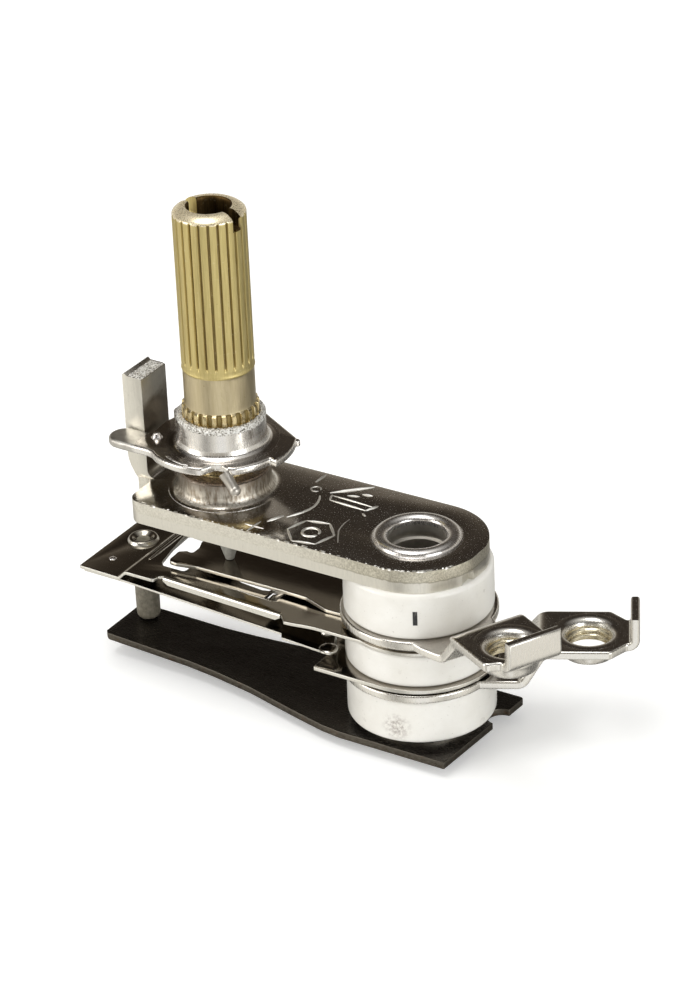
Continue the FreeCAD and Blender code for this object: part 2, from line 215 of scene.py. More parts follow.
def turned_mesh(name, profile, steps, x=0.0, y=0.0, radius_at=None):
    """Closed (radius, z) outline turned about the vertical axis through (x, y).

    radius_at(angle, radius, z) gives a changed radius.
    """
    verts, rings = [], []
    for radius, z in profile:
        if radius < 1e-6:
            rings.append([len(verts)] * steps)
            verts.append((x, y, z))
            continue
        rings.append(list(range(len(verts), len(verts) + steps)))
        for i in range(steps):
            angle = 2 * math.pi * i / steps
            reach = radius_at(angle, radius, z) if radius_at else radius
            verts.append((x + reach * math.cos(angle), y + reach * math.sin(angle), z))
    faces = []
    for ring, above in zip(rings, rings[1:] + rings[:1]):
        if ring[0] == ring[1] and above[0] == above[1]:
            continue
        for i in range(steps):
            j = (i + 1) % steps
            face = list(dict.fromkeys((ring[i], ring[j], above[j], above[i])))
            if len(face) > 2:
                faces.append(face)
    return mesh_from(name, verts, faces)


def sheet_mesh(name, loops, thickness, edge, res=2, cuts=()):
    """Flat sheet centred on z = 0 with rounded edges, left in millimetres for shape().

    The first loop is the outline and the others are holes; cuts are x of added edge lines.
    """
    curve = bpy.data.curves.new(name, "CURVE")
    curve.dimensions = "2D"
    curve.fill_mode = "BOTH"
    for loop in loops:
        spline = curve.splines.new("POLY")
        spline.points.add(len(loop) - 1)
        for point, (x, y) in zip(spline.points, loop):
            point.co = (x, y, 0, 1)
        spline.use_cyclic_u = True
    curve.extrude = thickness / 2 - edge
    curve.bevel_depth = edge
    curve.bevel_resolution = res
    curve.offset = -edge
    source = add_object(name + "_c", curve)
    depsgraph = bpy.context.evaluated_depsgraph_get()
    mesh = bpy.data.meshes.new_from_object(source.evaluated_get(depsgraph))
    bpy.data.objects.remove(source)
    bm = bmesh.new()
    bm.from_mesh(mesh)
    bmesh.ops.remove_doubles(bm, verts=bm.verts, dist=1e-4)
    for x in cuts:
        bmesh.ops.bisect_plane(bm, geom=bm.verts[:] + bm.edges[:] + bm.faces[:], dist=1e-5,
                               plane_co=(x, 0, 0), plane_no=(1, 0, 0))
    bm.to_mesh(mesh)
    bm.free()
    return mesh


def shape(mesh, place):
    """Moves every vertex with place(x, y, z) in millimetres and scales the mesh to metres."""
    for vert in mesh.vertices:
        vert.co = Vector(place(*vert.co)) * MM
    return mesh


def loft_mesh(name, sections, closed=False):
    """Skin over equal rings of points: capped at both ends, or closed into a loop."""
    count, size = len(sections), len(sections[0])
    faces = []
    for k in range(count if closed else count - 1):
        here, after = k * size, (k + 1) % count * size
        for i in range(size):
            j = (i + 1) % size
            faces.append([here + i, here + j, after + j, after + i])
    if not closed:
        faces.append(list(range(size)))
        faces.append([(count - 1) * size + i for i in range(size)][::-1])
    return mesh_from(name, [vert for section in sections for vert in section], faces)


def rope_mesh(name, path, radii, sides=14):
    """Round bar along a path of 3-D points, with its own radius at each point."""
    path = [Vector(point) for point in path]
    lean = Vector((0.13, 0.2, 0.97))
    sections = []
    for i, point in enumerate(path):
        along = tangent(path, i)
        across = along.cross(lean)
        if across.length <= 1e-3:
            across = along.cross(Vector((1, 0, 0)))
        across.normalize()
        third = along.cross(across)
        turns = [2 * math.pi * k / sides for k in range(sides)]
        sections.append([tuple(point + (across * math.cos(t) + third * math.sin(t)) * radii[i])
                         for t in turns])
    return loft_mesh(name, sections)


def wire_mesh(name, path, radius, end_radius, sides=14):
    """Bar of one radius that narrows at its two ends."""
    radii = [end_radius] + [radius] * (len(path) - 2) + [end_radius]
    return rope_mesh(name, path, radii, sides)


def rib_mesh(name, path, width, height, base_z):
    """Low rounded rib along a flat path, standing on a face at base_z."""
    path = [Vector(point) for point in path]
    sections = []
    for i, point in enumerate(path):
        along = tangent(path, i)
        normal = Vector((-along.y, along.x))
        full = 0.25 if i in (0, len(path) - 1) else 1.0
        section = []
        for k in range(9):
            angle = math.pi * k / 8
            side = normal * (math.cos(angle) * width / 2 * (0.55 + 0.45 * full))
            z = base_z - 0.004 + height * full * math.sin(angle)
            section.append((point.x + side.x, point.y + side.y, z))
        for share in (-0.3, 0.3):  # foot, sunk into the face
            section.append((point.x + normal.x * width * share,
                            point.y + normal.y * width * share, base_z - 0.03))
        sections.append(section)
    return loft_mesh(name, sections)


def grid_mesh(name, columns, rows, thickness, place):
    """Thickened sheet through the points place(i, k)."""
    verts = [place(i, k) for i in range(columns + 1) for k in range(rows + 1)]
    faces = []
    for i in range(columns):
        for k in range(rows):
            first = i * (rows + 1) + k
            faces.append([first, first + rows + 1, first + rows + 2, first + 1])
    mesh = mesh_from(name, verts, faces)
    bm = bmesh.new()
    bm.from_mesh(mesh)
    bmesh.ops.solidify(bm, geom=bm.faces[:], thickness=thickness * MM)
    bm.to_mesh(mesh)
    bm.free()
    return mesh


def refined_mesh(node, bevel, segments=2):
    """The CAD node's own shape with its sharp edges rounded."""
    bm = bmesh.new()
    bm.from_mesh(nodes[node].data)
    bmesh.ops.remove_doubles(bm, verts=bm.verts, dist=1.5e-6)
    bmesh.ops.dissolve_limit(bm, angle_limit=math.radians(0.5), verts=bm.verts, edges=bm.edges)
    sharp = [edge for edge in bm.edges
             if len(edge.link_faces) == 2 and edge.calc_face_angle(0.0) > math.radians(33.0)]
    bmesh.ops.bevel(bm, geom=sharp, offset=bevel * MM, offset_type="OFFSET", segments=segments,
                    profile=0.5, affect="EDGES", clamp_overlap=True)
    bmesh.ops.triangulate(bm, faces=[face for face in bm.faces if len(face.verts) > 4])
    mesh = bpy.data.meshes.new(node + "_r")
    bm.to_mesh(mesh)
    bm.free()
    return mesh


# ---------------------------------------------------------------- shader graph
class Signal:
    """A shader output. Arithmetic on it adds Math nodes."""

    def __init__(self, graph, socket):
        self.graph = graph
        self.socket = socket

    def __add__(self, other):
        return self.graph.math("ADD", self, other)

    def __sub__(self, other):
        return self.graph.math("SUBTRACT", self, other)

    def __mul__(self, other):
        return self.graph.math("MULTIPLY", self, other)

    def __pow__(self, other):
        return self.graph.math("POWER", self, other)

    def __abs__(self):
        return self.graph.math("ABSOLUTE", self)

    def sqrt(self):
        return self.graph.math("SQRT", self)

    def map(self, span, to=(0, 1), smooth=False):
        """Carries the span over to another one, clamped at both ends."""
        inputs = {"Value": self, "From Min": span[0], "From Max": span[1],
                  "To Min": to[0], "To Max": to[1]}
        kind = "SMOOTHSTEP" if smooth else "LINEAR"
        return self.graph.add("ShaderNodeMapRange", inputs, interpolation_type=kind)


class Graph:
    """Adds nodes to one node tree."""

    def __init__(self, tree):
        self.tree = tree
        self.coords = self.node("ShaderNodeTexCoord")

    def put(self, node, key, value):
        socket = node.inputs[key]
        if isinstance(value, Signal):
            self.tree.links.new(value.socket, socket)
        elif socket.type == "RGBA":
            socket.default_value = (*value, 1.0)
        else:
            socket.default_value = value

    def node(self, kind, inputs=None, **settings):
        made = self.tree.nodes.new(kind)
        for key, value in settings.items():
            setattr(made, key, value)
        for key, value in (inputs or {}).items():
            self.put(made, key, value)
        return made

    def out(self, node, key=0):
        return Signal(self, node.outputs[key])

    def add(self, kind, inputs=None, output=0, **settings):
        return self.out(self.node(kind, inputs, **settings), output)

    def scaled(self, mm, stretch=(1, 1, 1)):
        """Object coordinates with a cell of mm, drawn out along each axis by stretch."""
        scale = 1.0 / (mm * MM)
        return self.add("ShaderNodeMapping", {"Vector": self.out(self.coords, "Object"),
                                              "Scale": tuple(scale / s for s in stretch)})

    def noise(self, mm, detail=3.0, rough=0.55, stretch=(1, 1, 1)):
        return self.add("ShaderNodeTexNoise", {"Vector": self.scaled(mm, stretch), "Scale": 1.0,
                                               "Detail": detail, "Roughness": rough})

    def voronoi(self, mm):
        return self.add("ShaderNodeTexVoronoi", {"Vector": self.scaled(mm), "Scale": 1.0})

    def ramp(self, value, stops, interpolation="LINEAR"):
        node = self.node("ShaderNodeValToRGB", {"Fac": value})
        node.color_ramp.interpolation = interpolation
        elements = node.color_ramp.elements
        while len(elements) < len(stops):
            elements.new(0.5)
        for i, (position, colour) in enumerate(stops):
            elements[i].position = position
            elements[i].color = (*colour, 1.0)
        return self.out(node)

    def math(self, operation, a, b=0.0):
        return self.add("ShaderNodeMath", {0: a, 1: b}, operation=operation)

    def mix(self, factor, a, b):
        return self.add("ShaderNodeMix", {0: factor, 6: a, 7: b}, output=2, data_type="RGBA")

    def mix_value(self, factor, a, b):
        return self.add("ShaderNodeMix", {0: factor, 2: a, 3: b}, data_type="FLOAT")

    def xyz(self, vector=None):
        vector = vector or self.out(self.coords, "Object")
        node = self.node("ShaderNodeSeparateXYZ", {0: vector})
        return [self.out(node, k) for k in range(3)]

    def place_mm(self, axes):
        """Object coordinates in millimetres along the named axes."""
        parts = dict(zip("xyz", self.xyz()))
        return [parts[axis] * 1000.0 for axis in axes]

    def normal(self):
        return self.xyz(self.out(self.coords, "Normal"))

    def flat_mask(self, span=(0.75, 0.93)):
        """1 on faces that look up or down, 0 on side faces."""
        return abs(self.normal()[2]).map(span, smooth=True)


class Material(Graph):
    def __init__(self, name):
        self.material = bpy.data.materials.new(name)
        self.material.use_nodes = True
        super().__init__(self.material.node_tree)
        self.principled = self.tree.nodes["Principled BSDF"]

    def finish(self, color, metallic, roughness, height=None, **more):
        """Sets the Principled inputs; height is a relief in millimetres."""
        inputs = {"Base Color": color, "Metallic": metallic, "Roughness": roughness}
        if height:
            inputs["Normal"] = self.add("ShaderNodeBump", {"Strength": 1.0, "Distance": MM,
                                                           "Height": height})
        inputs.update((key.replace("_", " "), value) for key, value in more.items())
        for key, value in inputs.items():
            self.put(self.principled, key, value)
        return self.material


# ---------------------------------------------------------------- finishes
MID = (0.3, 0.7)  # span that most noise values fall in


def shade(colour, factor):
    return tuple(min(1.0, c * factor) for c in colour)


def shaft_distance(x_mm, y_mm):
    return ((x_mm - SHAFT_X) ** 2.0 + y_mm ** 2.0).sqrt()


def sheared_sides(m, colour, height, grain):
    """Side faces of the bracket: torn lower band, painted shade on the +x face of the post, and a streaked neck
    with painted shade towards its top.

    Returns colour, height and metallic.
    """
    tear_z = -1.02  # where the clean cut turns into the torn band
    below_top = {"span": (0.02, 0.30), "to": (1, 0)}
    z, = m.place_mm("z")
    wobble = (m.noise(0.5) - 0.5) * 0.30
    band = ((z + wobble).map((tear_z - 0.07, tear_z + 0.07), smooth=True)
            * z.map(**below_top))
    grit = m.noise(0.14, detail=4, rough=0.7).map((0.36, 0.64))
    torn = m.mix(grit, (0.56, 0.53, 0.45), (0.82, 0.79, 0.70))
    near_stack = m.place_mm("x")[0].map((-9.0, -1.0), smooth=True)
    torn = m.mix(near_stack * 0.75, torn, m.mix(grit, (0.33, 0.30, 0.22), (0.70, 0.66, 0.54)))
    colour = m.mix(band * near_stack.map((0, 1), to=(0.72, 0.95)), colour, torn)
    # dark line along the start of the band
    line = abs((z + wobble) - tear_z).map((0.02, 0.09), to=(1, 0)) * z.map(**below_top)
    colour = m.mix(line * (near_stack * 0.6), colour, (0.30, 0.27, 0.20))
    # painted shade on the face of the post that looks along +x, darker towards its foot
    x, y = m.place_mm("xy")
    facing = m.normal()[0]
    post = x.map((-24.6, -25.0)) * (facing.map((0.55, 0.85)) * z.map((0.3, 1.0)))
    foot = (z + m.noise(1.6, detail=4, rough=0.6) * 3.0).map((9.2, 7.6), to=(0.10, 1.0),
                                                            smooth=True)
    colour = m.mix(post * foot, colour, (0.29, 0.25, 0.20))
    # neck round the shaft: streaked, and darker towards its top as painted shade under the stop disc
    neck = shaft_distance(x, y).map((4.9, 4.6)) * z.map((0.10, 0.30))
    streak = m.noise(0.22, detail=4, rough=0.7, stretch=(1, 1, 5))
    neck_streaks_and_shade = m.mix(streak.map((0.40, 0.60)), (0.20, 0.15, 0.10), (0.66, 0.62, 0.55))
    neck_streaks_and_shade = m.mix(z.map((1.0, 2.0), to=(0, 0.85)), neck_streaks_and_shade, (0.13, 0.085, 0.055))
    colour = m.mix(neck * 0.85, colour, neck_streaks_and_shade)
    height = height + band * m.noise(0.14, detail=4, rough=0.7) * (grain * 1.6)
    height = height + neck * streak * 0.035
    return colour, height, m.mix_value(band, 1.0, 0.85)


def satin_ear_and_collar_shade(m, colour, rough, mottle):
    """Satin ear on the -x side of the disc, and painted shade round the foot of its collar, stronger towards -x.
    """
    x, y, z = m.place_mm("xyz")
    ear = x.map((SHAFT_X - 5.6, SHAFT_X - 6.3), smooth=True)
    satin = m.mix(mottle.map(MID), (0.44, 0.42, 0.385), (0.62, 0.60, 0.555))
    colour = m.mix(ear * 0.85, colour, satin)
    rough = rough + ear * 0.20
    # painted shade round the foot of the collar, stronger towards -x
    foot = shaft_distance(x, y).map((4.9, 4.3)) * z.map((5.0, 4.5))
    side = (x + m.noise(1.2) * 2.0).map((SHAFT_X + 0.6, SHAFT_X - 1.4), to=(0.0, 0.8))
    return m.mix(foot * side, colour, (0.10, 0.085, 0.07)), rough


def plated(name, flat=(0.66, 0.63, 0.58), side=(0.80, 0.775, 0.70), flat_rough=0.13,
           side_rough=0.34, side_grain=0.010, fleck=0.5, streaky=1.0, sheared=False, disc=False):
    """Nickel over steel: grained mirror faces with bright and dark flecks, satin sides."""
    m = Material(name)
    grain = 0.0030  # relief of the flat faces
    flat_mask = m.flat_mask()
    cloud = m.noise(2.2, detail=2)
    peel = m.noise(0.20, rough=0.6)
    mottle = m.noise(0.5, detail=4, rough=0.6)
    bright = m.noise(0.12, detail=2, rough=0.5).map((0.615, 0.70), to=(0.0, fleck * 1.15))
    dark = m.noise(0.17, detail=2, rough=0.5).map((0.60, 0.70), to=(0.0, fleck * 1.2))
    flat_colour = m.mix(cloud.map(MID), shade(flat, 0.88), flat)
    flat_colour = m.mix(mottle.map((0.52, 0.75), to=(0, 0.35)), flat_colour, shade(flat, 0.60))
    flat_colour = m.mix(dark, flat_colour, shade(flat, 0.42))
    flat_colour = m.mix(bright, flat_colour, shade(flat, 1.5))
    streak = m.noise(0.16, detail=4, rough=0.6, stretch=(1, 1, 7))
    side_colour = m.mix(streak.map(MID), shade(side, 1 - 0.10 * streaky), side)
    blotch = m.noise(0.22, detail=4, rough=0.65).map((0.58, 0.72), to=(0, 0.35 * streaky))
    side_colour = m.mix(blotch, side_colour, shade(side, 0.66))
    side_height = streak * side_grain
    side_metal = 0.94
    if sheared:
        side_colour, side_height, side_metal = sheared_sides(m, side_colour, side_height,
                                                             side_grain)
    colour = m.mix(flat_mask, side_colour, flat_colour)
    rough = m.mix_value(flat_mask,
                        streak.map(MID, to=(side_rough - 0.06, side_rough + 0.1)),
                        mottle.map((0.3, 0.8), to=(flat_rough - 0.02, flat_rough + 0.08))
                        + bright * 0.3)
    if disc:
        colour, rough = satin_ear_and_collar_shade(m, colour, rough, mottle)
    flat_height = peel * grain + mottle * (grain * 1.6)
    return m.finish(colour, metallic=m.mix_value(flat_mask, side_metal, 1.0), roughness=rough,
                    height=m.mix_value(flat_mask, side_height, flat_height))


def strip_steel(name, flat, rough=0.12):
    """Rolled spring strip: mirror-like with faint rolling lines along its length."""
    m = Material(name)
    flat_mask = m.flat_mask((0.6, 0.9))
    lines = m.noise(0.09, rough=0.6, stretch=(14, 1, 1))
    wide = m.noise(1.6, detail=2, stretch=(3, 1, 1))
    flat_colour = m.mix(wide.map(MID), shade(flat, 0.86), flat)
    side_colour = m.mix(m.noise(0.1).map(MID), (0.66, 0.64, 0.58), (0.86, 0.84, 0.79))
    roughness = m.mix_value(flat_mask, 0.30, lines.map(MID, to=(rough - 0.03, rough + 0.06)))
    height = m.mix_value(flat_mask, m.noise(0.1) * 0.006, lines * 0.0007)
    return m.finish(m.mix(flat_mask, side_colour, flat_colour), metallic=1.0,
                    roughness=roughness, height=height)


def granular(name, tone=1.0, tint=(1.0, 1.0, 1.0)):
    """Broken or sheared nickel-plated steel: bright crystalline grain with dark pits."""
    m = Material(name)
    cells = m.voronoi(0.17)
    grit = m.noise(0.15, detail=4, rough=0.7)
    stops = [(0.34, (0.05, 0.045, 0.04))]
    for position, colour in ((0.44, (0.40, 0.37, 0.32)), (0.56, (0.80, 0.78, 0.73)),
                             (0.72, (0.98, 0.97, 0.93))):
        stops.append((position, tuple(c * tone * t for c, t in zip(colour, tint))))
    return m.finish(m.ramp(cells * 0.45 + grit * 0.6, stops), metallic=0.28, roughness=0.32,
                    height=cells * 0.08 + grit * 0.07)


def brass(name, base, dark, rough, streak=(1, 1, 22), metal=1.0, grain=1.0):
    """Machined metal with streaks, pale patches and brown dots."""
    m = Material(name)
    streaks = m.noise(0.12, detail=4, rough=0.6, stretch=streak)
    colour = m.mix(streaks.map((0.3, 0.72)), dark, base)
    colour = m.mix(m.noise(0.35).map((0.62, 0.78), to=(0, 0.35)), colour, (0.84, 0.76, 0.48))
    mottle = m.noise(0.8, detail=4, rough=0.65, stretch=(1, 1, 2.5))
    colour = m.mix(mottle.map((0.45, 0.75), to=(0, 0.30)), colour, shade(base, 0.78))
    dots = m.noise(0.16, detail=2).map((0.72, 0.78), to=(0, 0.75))
    colour = m.mix(dots, colour, (0.30, 0.20, 0.08))
    return m.finish(colour, metallic=metal,
                    roughness=streaks.map(MID, to=(rough - 0.06, rough + 0.10)),
                    height=streaks * (0.004 * grain) + m.noise(0.09) * (0.002 * grain))


def glazed(name):
    """Cream-white steatite with a thin glaze, kiln specks and faint grey rubbing."""
    m = Material(name)
    cloud = m.noise(2.6, detail=4, rough=0.6)
    colour = m.mix(cloud.map(MID), (0.79, 0.765, 0.705), (0.87, 0.85, 0.80))
    speck = m.noise(0.22, detail=2, rough=0.5).map((0.70, 0.78), to=(0, 0.55))
    colour = m.mix(speck, colour, (0.42, 0.39, 0.34))
    smear = m.noise(0.9, detail=5, rough=0.7, stretch=(1, 1, 1.5)).map((0.62, 0.85),
                                                                      to=(0, 0.45))
    colour = m.mix(smear, colour, (0.60, 0.57, 0.52))
    # one dark smudge low on the -y side; its centre and fade are in metres
    centre = (0.00115, -0.00604, -0.0144)
    square_x, square_y, square_z = [(axis - c) ** 2.0 for axis, c in zip(m.xyz(), centre)]
    away = (square_x + square_y + square_z).sqrt()
    smudge = (away.map((0.0003, 0.0016), to=(1.0, 0.0), smooth=True)
              * m.noise(0.30, detail=4, rough=0.7).map((0.42, 0.62), to=(0, 0.8)))
    colour = m.mix(smudge, colour, (0.33, 0.28, 0.25))
    return m.finish(colour, metallic=0.0, roughness=cloud.map(MID, to=(0.26, 0.42)),
                    height=m.noise(0.6) * 0.010 + m.noise(0.14) * 0.003,
                    Coat_Weight=0.35, Coat_Roughness=0.12, Specular_IOR_Level=0.5)


def raw_ceramic(name, dark, light):
    m = Material(name)
    cloud = m.noise(0.4, detail=5, rough=0.65)
    streak = m.noise(0.12, stretch=(1, 1, 6))
    colour = m.mix(cloud.map(MID), dark, light)
    colour = m.mix(streak.map((0.6, 0.8), to=(0, 0.4)), colour, (0.42, 0.39, 0.32))
    return m.finish(colour, metallic=0.0, roughness=0.42, height=cloud * 0.02 + streak * 0.01,
                    Specular_IOR_Level=0.35)


def oxidised_strip(name):
    """Dark oxidised strip with a grey-brown sheared edge, paler in its upper layer."""
    m = Material(name)
    flat_mask = m.flat_mask((0.7, 0.92))
    cloud = m.noise(2.5, detail=4, rough=0.6)
    lines = m.noise(0.10, rough=0.6, stretch=(10, 1, 1))
    top = m.mix(cloud.map((0.3, 0.75)), (0.045, 0.038, 0.032), (0.075, 0.068, 0.058))
    patch = m.noise(0.5, detail=4, rough=0.7).map((0.66, 0.76), to=(0, 0.35))
    top = m.mix(patch, top, (0.13, 0.13, 0.11))
    grit = m.noise(0.16, detail=4, rough=0.65, stretch=(2, 2, 1))
    edge = m.mix(grit.map(MID), (0.075, 0.062, 0.048), (0.185, 0.165, 0.135))
    rust = m.noise(0.7).map((0.58, 0.72), to=(0, 0.6))
    edge = m.mix(rust, edge, (0.16, 0.085, 0.045))
    layer = m.add("ShaderNodeAttribute", output="Fac", attribute_name="layer").map((0.55, 0.70))
    edge = m.mix(layer * 0.55, edge, (0.13, 0.12, 0.10))
    return m.finish(m.mix(flat_mask, edge, top), metallic=0.9,
                    roughness=m.mix_value(flat_mask, 0.42, lines.map(MID, to=(0.20, 0.34))),
                    height=m.mix_value(flat_mask, grit * 0.02, lines * 0.0016))


NICKEL_BRACKET = plated("nickel_bracket", sheared=True)
NICKEL = plated("nickel_plain")
NICKEL_DISC = plated("nickel_disc", flat=(0.62, 0.58, 0.54), side=(0.80, 0.775, 0.735),
                     side_rough=0.24, side_grain=0.0016, fleck=0.3, streaky=0.5, disc=True)
NICKEL_RIVET = plated("nickel_rivet", flat=(0.80, 0.77, 0.745), side=(0.80, 0.77, 0.745),
                      flat_rough=0.23, side_rough=0.25, side_grain=0.0012, fleck=0.12)
NICKEL_TUBE = plated("nickel_tube", flat=(0.60, 0.57, 0.52), side=(0.60, 0.565, 0.51),
                     flat_rough=0.40, side_rough=0.42, side_grain=0.0006, fleck=0.05)
NICKEL_TERMINAL = plated("nickel_terminal", flat=(0.62, 0.59, 0.55), side=(0.82, 0.795, 0.74),
                         flat_rough=0.15, side_rough=0.26, side_grain=0.0012, fleck=0.3,
                         streaky=0.35)
STRIP = strip_steel("spring_strip", flat=(0.37, 0.335, 0.28))
# darker copy of the spring strip: painted shade on the arm in the gap under the plate
STRIP_ARM_SHADED = strip_steel("spring_arm", flat=(0.23, 0.20, 0.16))
STRIP_LEAF = strip_steel("spring_leaf", flat=(0.44, 0.405, 0.355), rough=0.14)
GRAIN = granular("sheared_grain")
# sheared grain in dark brown: the brown tint is rust, and it is darkened to a quarter as painted shade under the
# stop disc
GRAIN_RUST_SHADE = granular("sheared_grain_dull", tone=0.24, tint=(1.0, 0.72, 0.50))
BRASS = brass("turned_brass", base=(0.70, 0.585, 0.27), dark=(0.53, 0.43, 0.17), rough=0.44,
              metal=0.82)
# darker copy of the brass for the knurl grooves and collar notches: painted shade in the recesses
BRASS_GROOVE_SHADE = brass("groove_brass", base=(0.42, 0.32, 0.13), dark=(0.20, 0.145, 0.055),
                     rough=0.5, streak=(1, 1, 10), metal=0.6)
# polished chamfer at the top of the shaft; its pale, half-metallic colour is a painted highlight
BRASS_CHAMFER_SHEEN = brass("polished_brass", base=(0.95, 0.87, 0.66), dark=(0.72, 0.58, 0.34),
                      rough=0.28, streak=(1, 1, 1), metal=0.6, grain=0.12)
BRASS_BAND = brass("turned_brass_band", base=(0.66, 0.57, 0.38), dark=(0.54, 0.455, 0.28),
                   rough=0.36, streak=(1, 1, 14), metal=0.9)
BRASS_KNURL = brass("knurled_brass", base=(0.88, 0.76, 0.48), dark=(0.50, 0.38, 0.17),
                    rough=0.27, streak=(1, 1, 3))
# near-black copy of the brass for the bore and slot: painted shade in the recesses
BRASS_BORE_SHADE = brass("bore_brass", base=(0.16, 0.10, 0.035), dark=(0.05, 0.03, 0.012), rough=0.45)
THREAD_STEEL = brass("thread_steel", base=(0.84, 0.78, 0.62), dark=(0.66, 0.58, 0.40),
                     rough=0.24, streak=(6, 6, 1), metal=0.9)
STEATITE = glazed("glazed_steatite")
PIN_CERAMIC = raw_ceramic("pin_ceramic", (0.13, 0.115, 0.085), (0.27, 0.245, 0.19))
TIP_CERAMIC = raw_ceramic("tip_ceramic", (0.34, 0.33, 0.29), (0.52, 0.51, 0.46))
BIMETAL = oxidised_strip("bimetal_dark")
SILVER = plated("contact_silver", flat=(0.85, 0.84, 0.80), side=(0.85, 0.84, 0.80),
                flat_rough=0.25, side_rough=0.3)
INK = raw_ceramic("stamp_ink", (0.02, 0.02, 0.02), (0.05, 0.05, 0.05))
# brighter copy of the nickel: painted highlight on the stamped ribs and the edge beads
NICKEL_MARK_HIGHLIGHT = plated("nickel_mark", flat=(0.95, 0.93, 0.88), side=(0.97, 0.95, 0.90),
                     flat_rough=0.32, side_rough=0.34, side_grain=0.001, fleck=0.1)

# ---------------------------------------------------------------- bracket
piece("bracket", refined_mesh("mounting_bracket", bevel=0.13, segments=3), NICKEL_BRACKET,
      "bright_nickel", "stack", replaces=("mounting_bracket",))


# ---------------------------------------------------------------- ceramic rings
def ceramic_ring(name, node, seed):
    low, high = box_mm(node)
    bottom, top = low[2], high[2]
    corners = rounded([(BORE, bottom, 0.15), (ring_radius, bottom, 0.42),
                       (ring_radius, top, 0.42), (BORE, top, 0.15)], steps=7)
    # extra levels so that the wall can carry its slight waviness
    profile = []
    for here, after in zip(corners, corners[1:] + corners[:1]):
        profile.append(here)
        if abs(here[0] - ring_radius) < 1e-3 and abs(after[0] - ring_radius) < 1e-3:
            profile += [(ring_radius, here[1] + (after[1] - here[1]) * k / 8)
                        for k in range(1, 8)]

    def wavy(angle, radius, z):
        if radius < 5:
            return radius
        spot = Vector((math.cos(angle) * 2.2, math.sin(angle) * 2.2, z * 0.35 + seed * 7))
        return radius - 0.012 + 0.018 * noise.noise(spot) + 0.006 * noise.noise(spot * 5)

    piece(name, turned_mesh(name, profile, 176, radius_at=wavy), STEATITE, "steatite", "stack",
          replaces=(node,), smooth=40)


ceramic_ring("ring_top", "top_insulator", 1.0)
ceramic_ring("ring_middle", "middle_insulator", 2.0)
ceramic_ring("ring_bottom", "bottom_insulator", 3.0)

# ---------------------------------------------------------------- parts kept in their CAD shape
for node, material, slot, body, bevel in (
    ("insulating_sleeve", STEATITE, "steatite", "stack", 0.10),
    ("rivet_washer", NICKEL, "bright_nickel", "stack", 0.05),
    ("stack_spacer", NICKEL, "bright_nickel", "stack", 0.05),
    ("contact_shim", STRIP, "spring_steel", "stack", 0.03),
    ("fixed_contact_blade", STRIP_LEAF, "spring_steel", "stack", 0.04),
    ("fixed_contact", SILVER, "silver_contact", "stack", 0.03),
    ("moving_contact", SILVER, "silver_contact", "contact_leaf", 0.03),
):
    piece(node + "_piece", refined_mesh(node, bevel), material, slot, body, replaces=(node,))

# ---------------------------------------------------------------- hollow rivet
bottom = box_mm("hollow_rivet")[0][2]
bore = mounts["mounting_eyelet"]["dims"]["r_mm"]
# (radius, z, rounding): lower flange, then the wall up to the plate
profile = rounded([
    (bore, bottom + 0.40, 0.2), (bore + 0.35, bottom + 0.06, 0.3), (3.35, bottom, 0.3),
    (4.14, bottom + 0.16, 0.16), (4.0, bottom + 0.45, 0.1), (3.0, bottom + 0.45, 0.05),
    (3.0, 0.0, 0.02), (3.78, 0.0, 0.01), (3.78, 0.006)], steps=8)
# rolled rim on the plate
profile += [(3.70, 0.014), (3.64, 0.035), (3.595, 0.075)]
profile += [(3.02 + 0.60 * math.cos(math.radians(a)), 0.02 + 0.44 * math.sin(math.radians(a)))
            for a in range(17, 180, 7)]
# bore, with a shallow recess below the rim
profile += rounded([
    (bore - 0.06, -0.25), (bore - 0.02, -0.9, 0.3), (bore + 0.12, -1.25, 0.1),
    (bore + 0.10, -1.42, 0.05), (bore - 0.08, -1.60, 0.08), (bore - 0.02, -2.3, 0.2),
    (bore, -3.2)], closed=False)
eyelet = piece("eyelet", turned_mesh("eyelet", profile, 160), NICKEL_RIVET, "bright_nickel",
               "stack", replaces=("hollow_rivet",), smooth=50)
eyelet.data.materials.append(NICKEL_TUBE)
for face in eyelet.data.polygons:
    centre = face.center / MM
    if math.hypot(centre.x, centre.y) < 2.72 and centre.z < -0.12:
        face.material_index = 1

# ---------------------------------------------------------------- control shaft
GROOVE_START = math.radians(1.6)
GROOVE_PITCH = 2 * math.pi / 24
GROOVE_HALF = 0.19 / 3.0 / 2  # half the angle of a 0.19 wide groove at radius 3.0
THREAD_PITCH = 0.8
SLOT_TURN = math.radians(-8.0)


def groove_offset(angle):
    return abs((angle - GROOVE_START + GROOVE_PITCH / 2) % GROOVE_PITCH - GROOVE_PITCH / 2)


def groove(angle):
    """0 on a ridge, 1 in a groove, sloped between."""
    return clamp(1 - (groove_offset(angle) - GROOVE_HALF * 0.55) / (GROOVE_HALF * 0.75))


def shaft_radius(angle, radius, z):
    if z > 11.8 and radius > 2.55:  # knurled grip, fading in from below and out at the top
        rise = min(1.0, (z - 11.8) / 0.6)
        away = groove_offset(angle) / (GROOVE_PITCH / 2)
        crown = 0.030 * (1 - away) ** 3 * rise
        fade = clamp((24.86 - z) / 0.12)
        return radius - smooth_step(groove(angle)) * 0.22 * rise * fade - crown * fade
    if 7.0 < z < 8.04 and radius > 3.0:  # notched collar
        away = abs((angle - GROOVE_START) % GROOVE_PITCH - GROOVE_PITCH / 2) / (GROOVE_PITCH / 2)
        return radius - 0.26 * smooth_step((away - 0.42) / 0.25)
    if z < 2.6 and radius > 2.15:  # adjusting thread
        phase = (angle / (2 * math.pi) - z / THREAD_PITCH) % 1.0
        return radius - 0.20 * (1 - abs(2 * phase - 1)) ** 1.2
    return radius


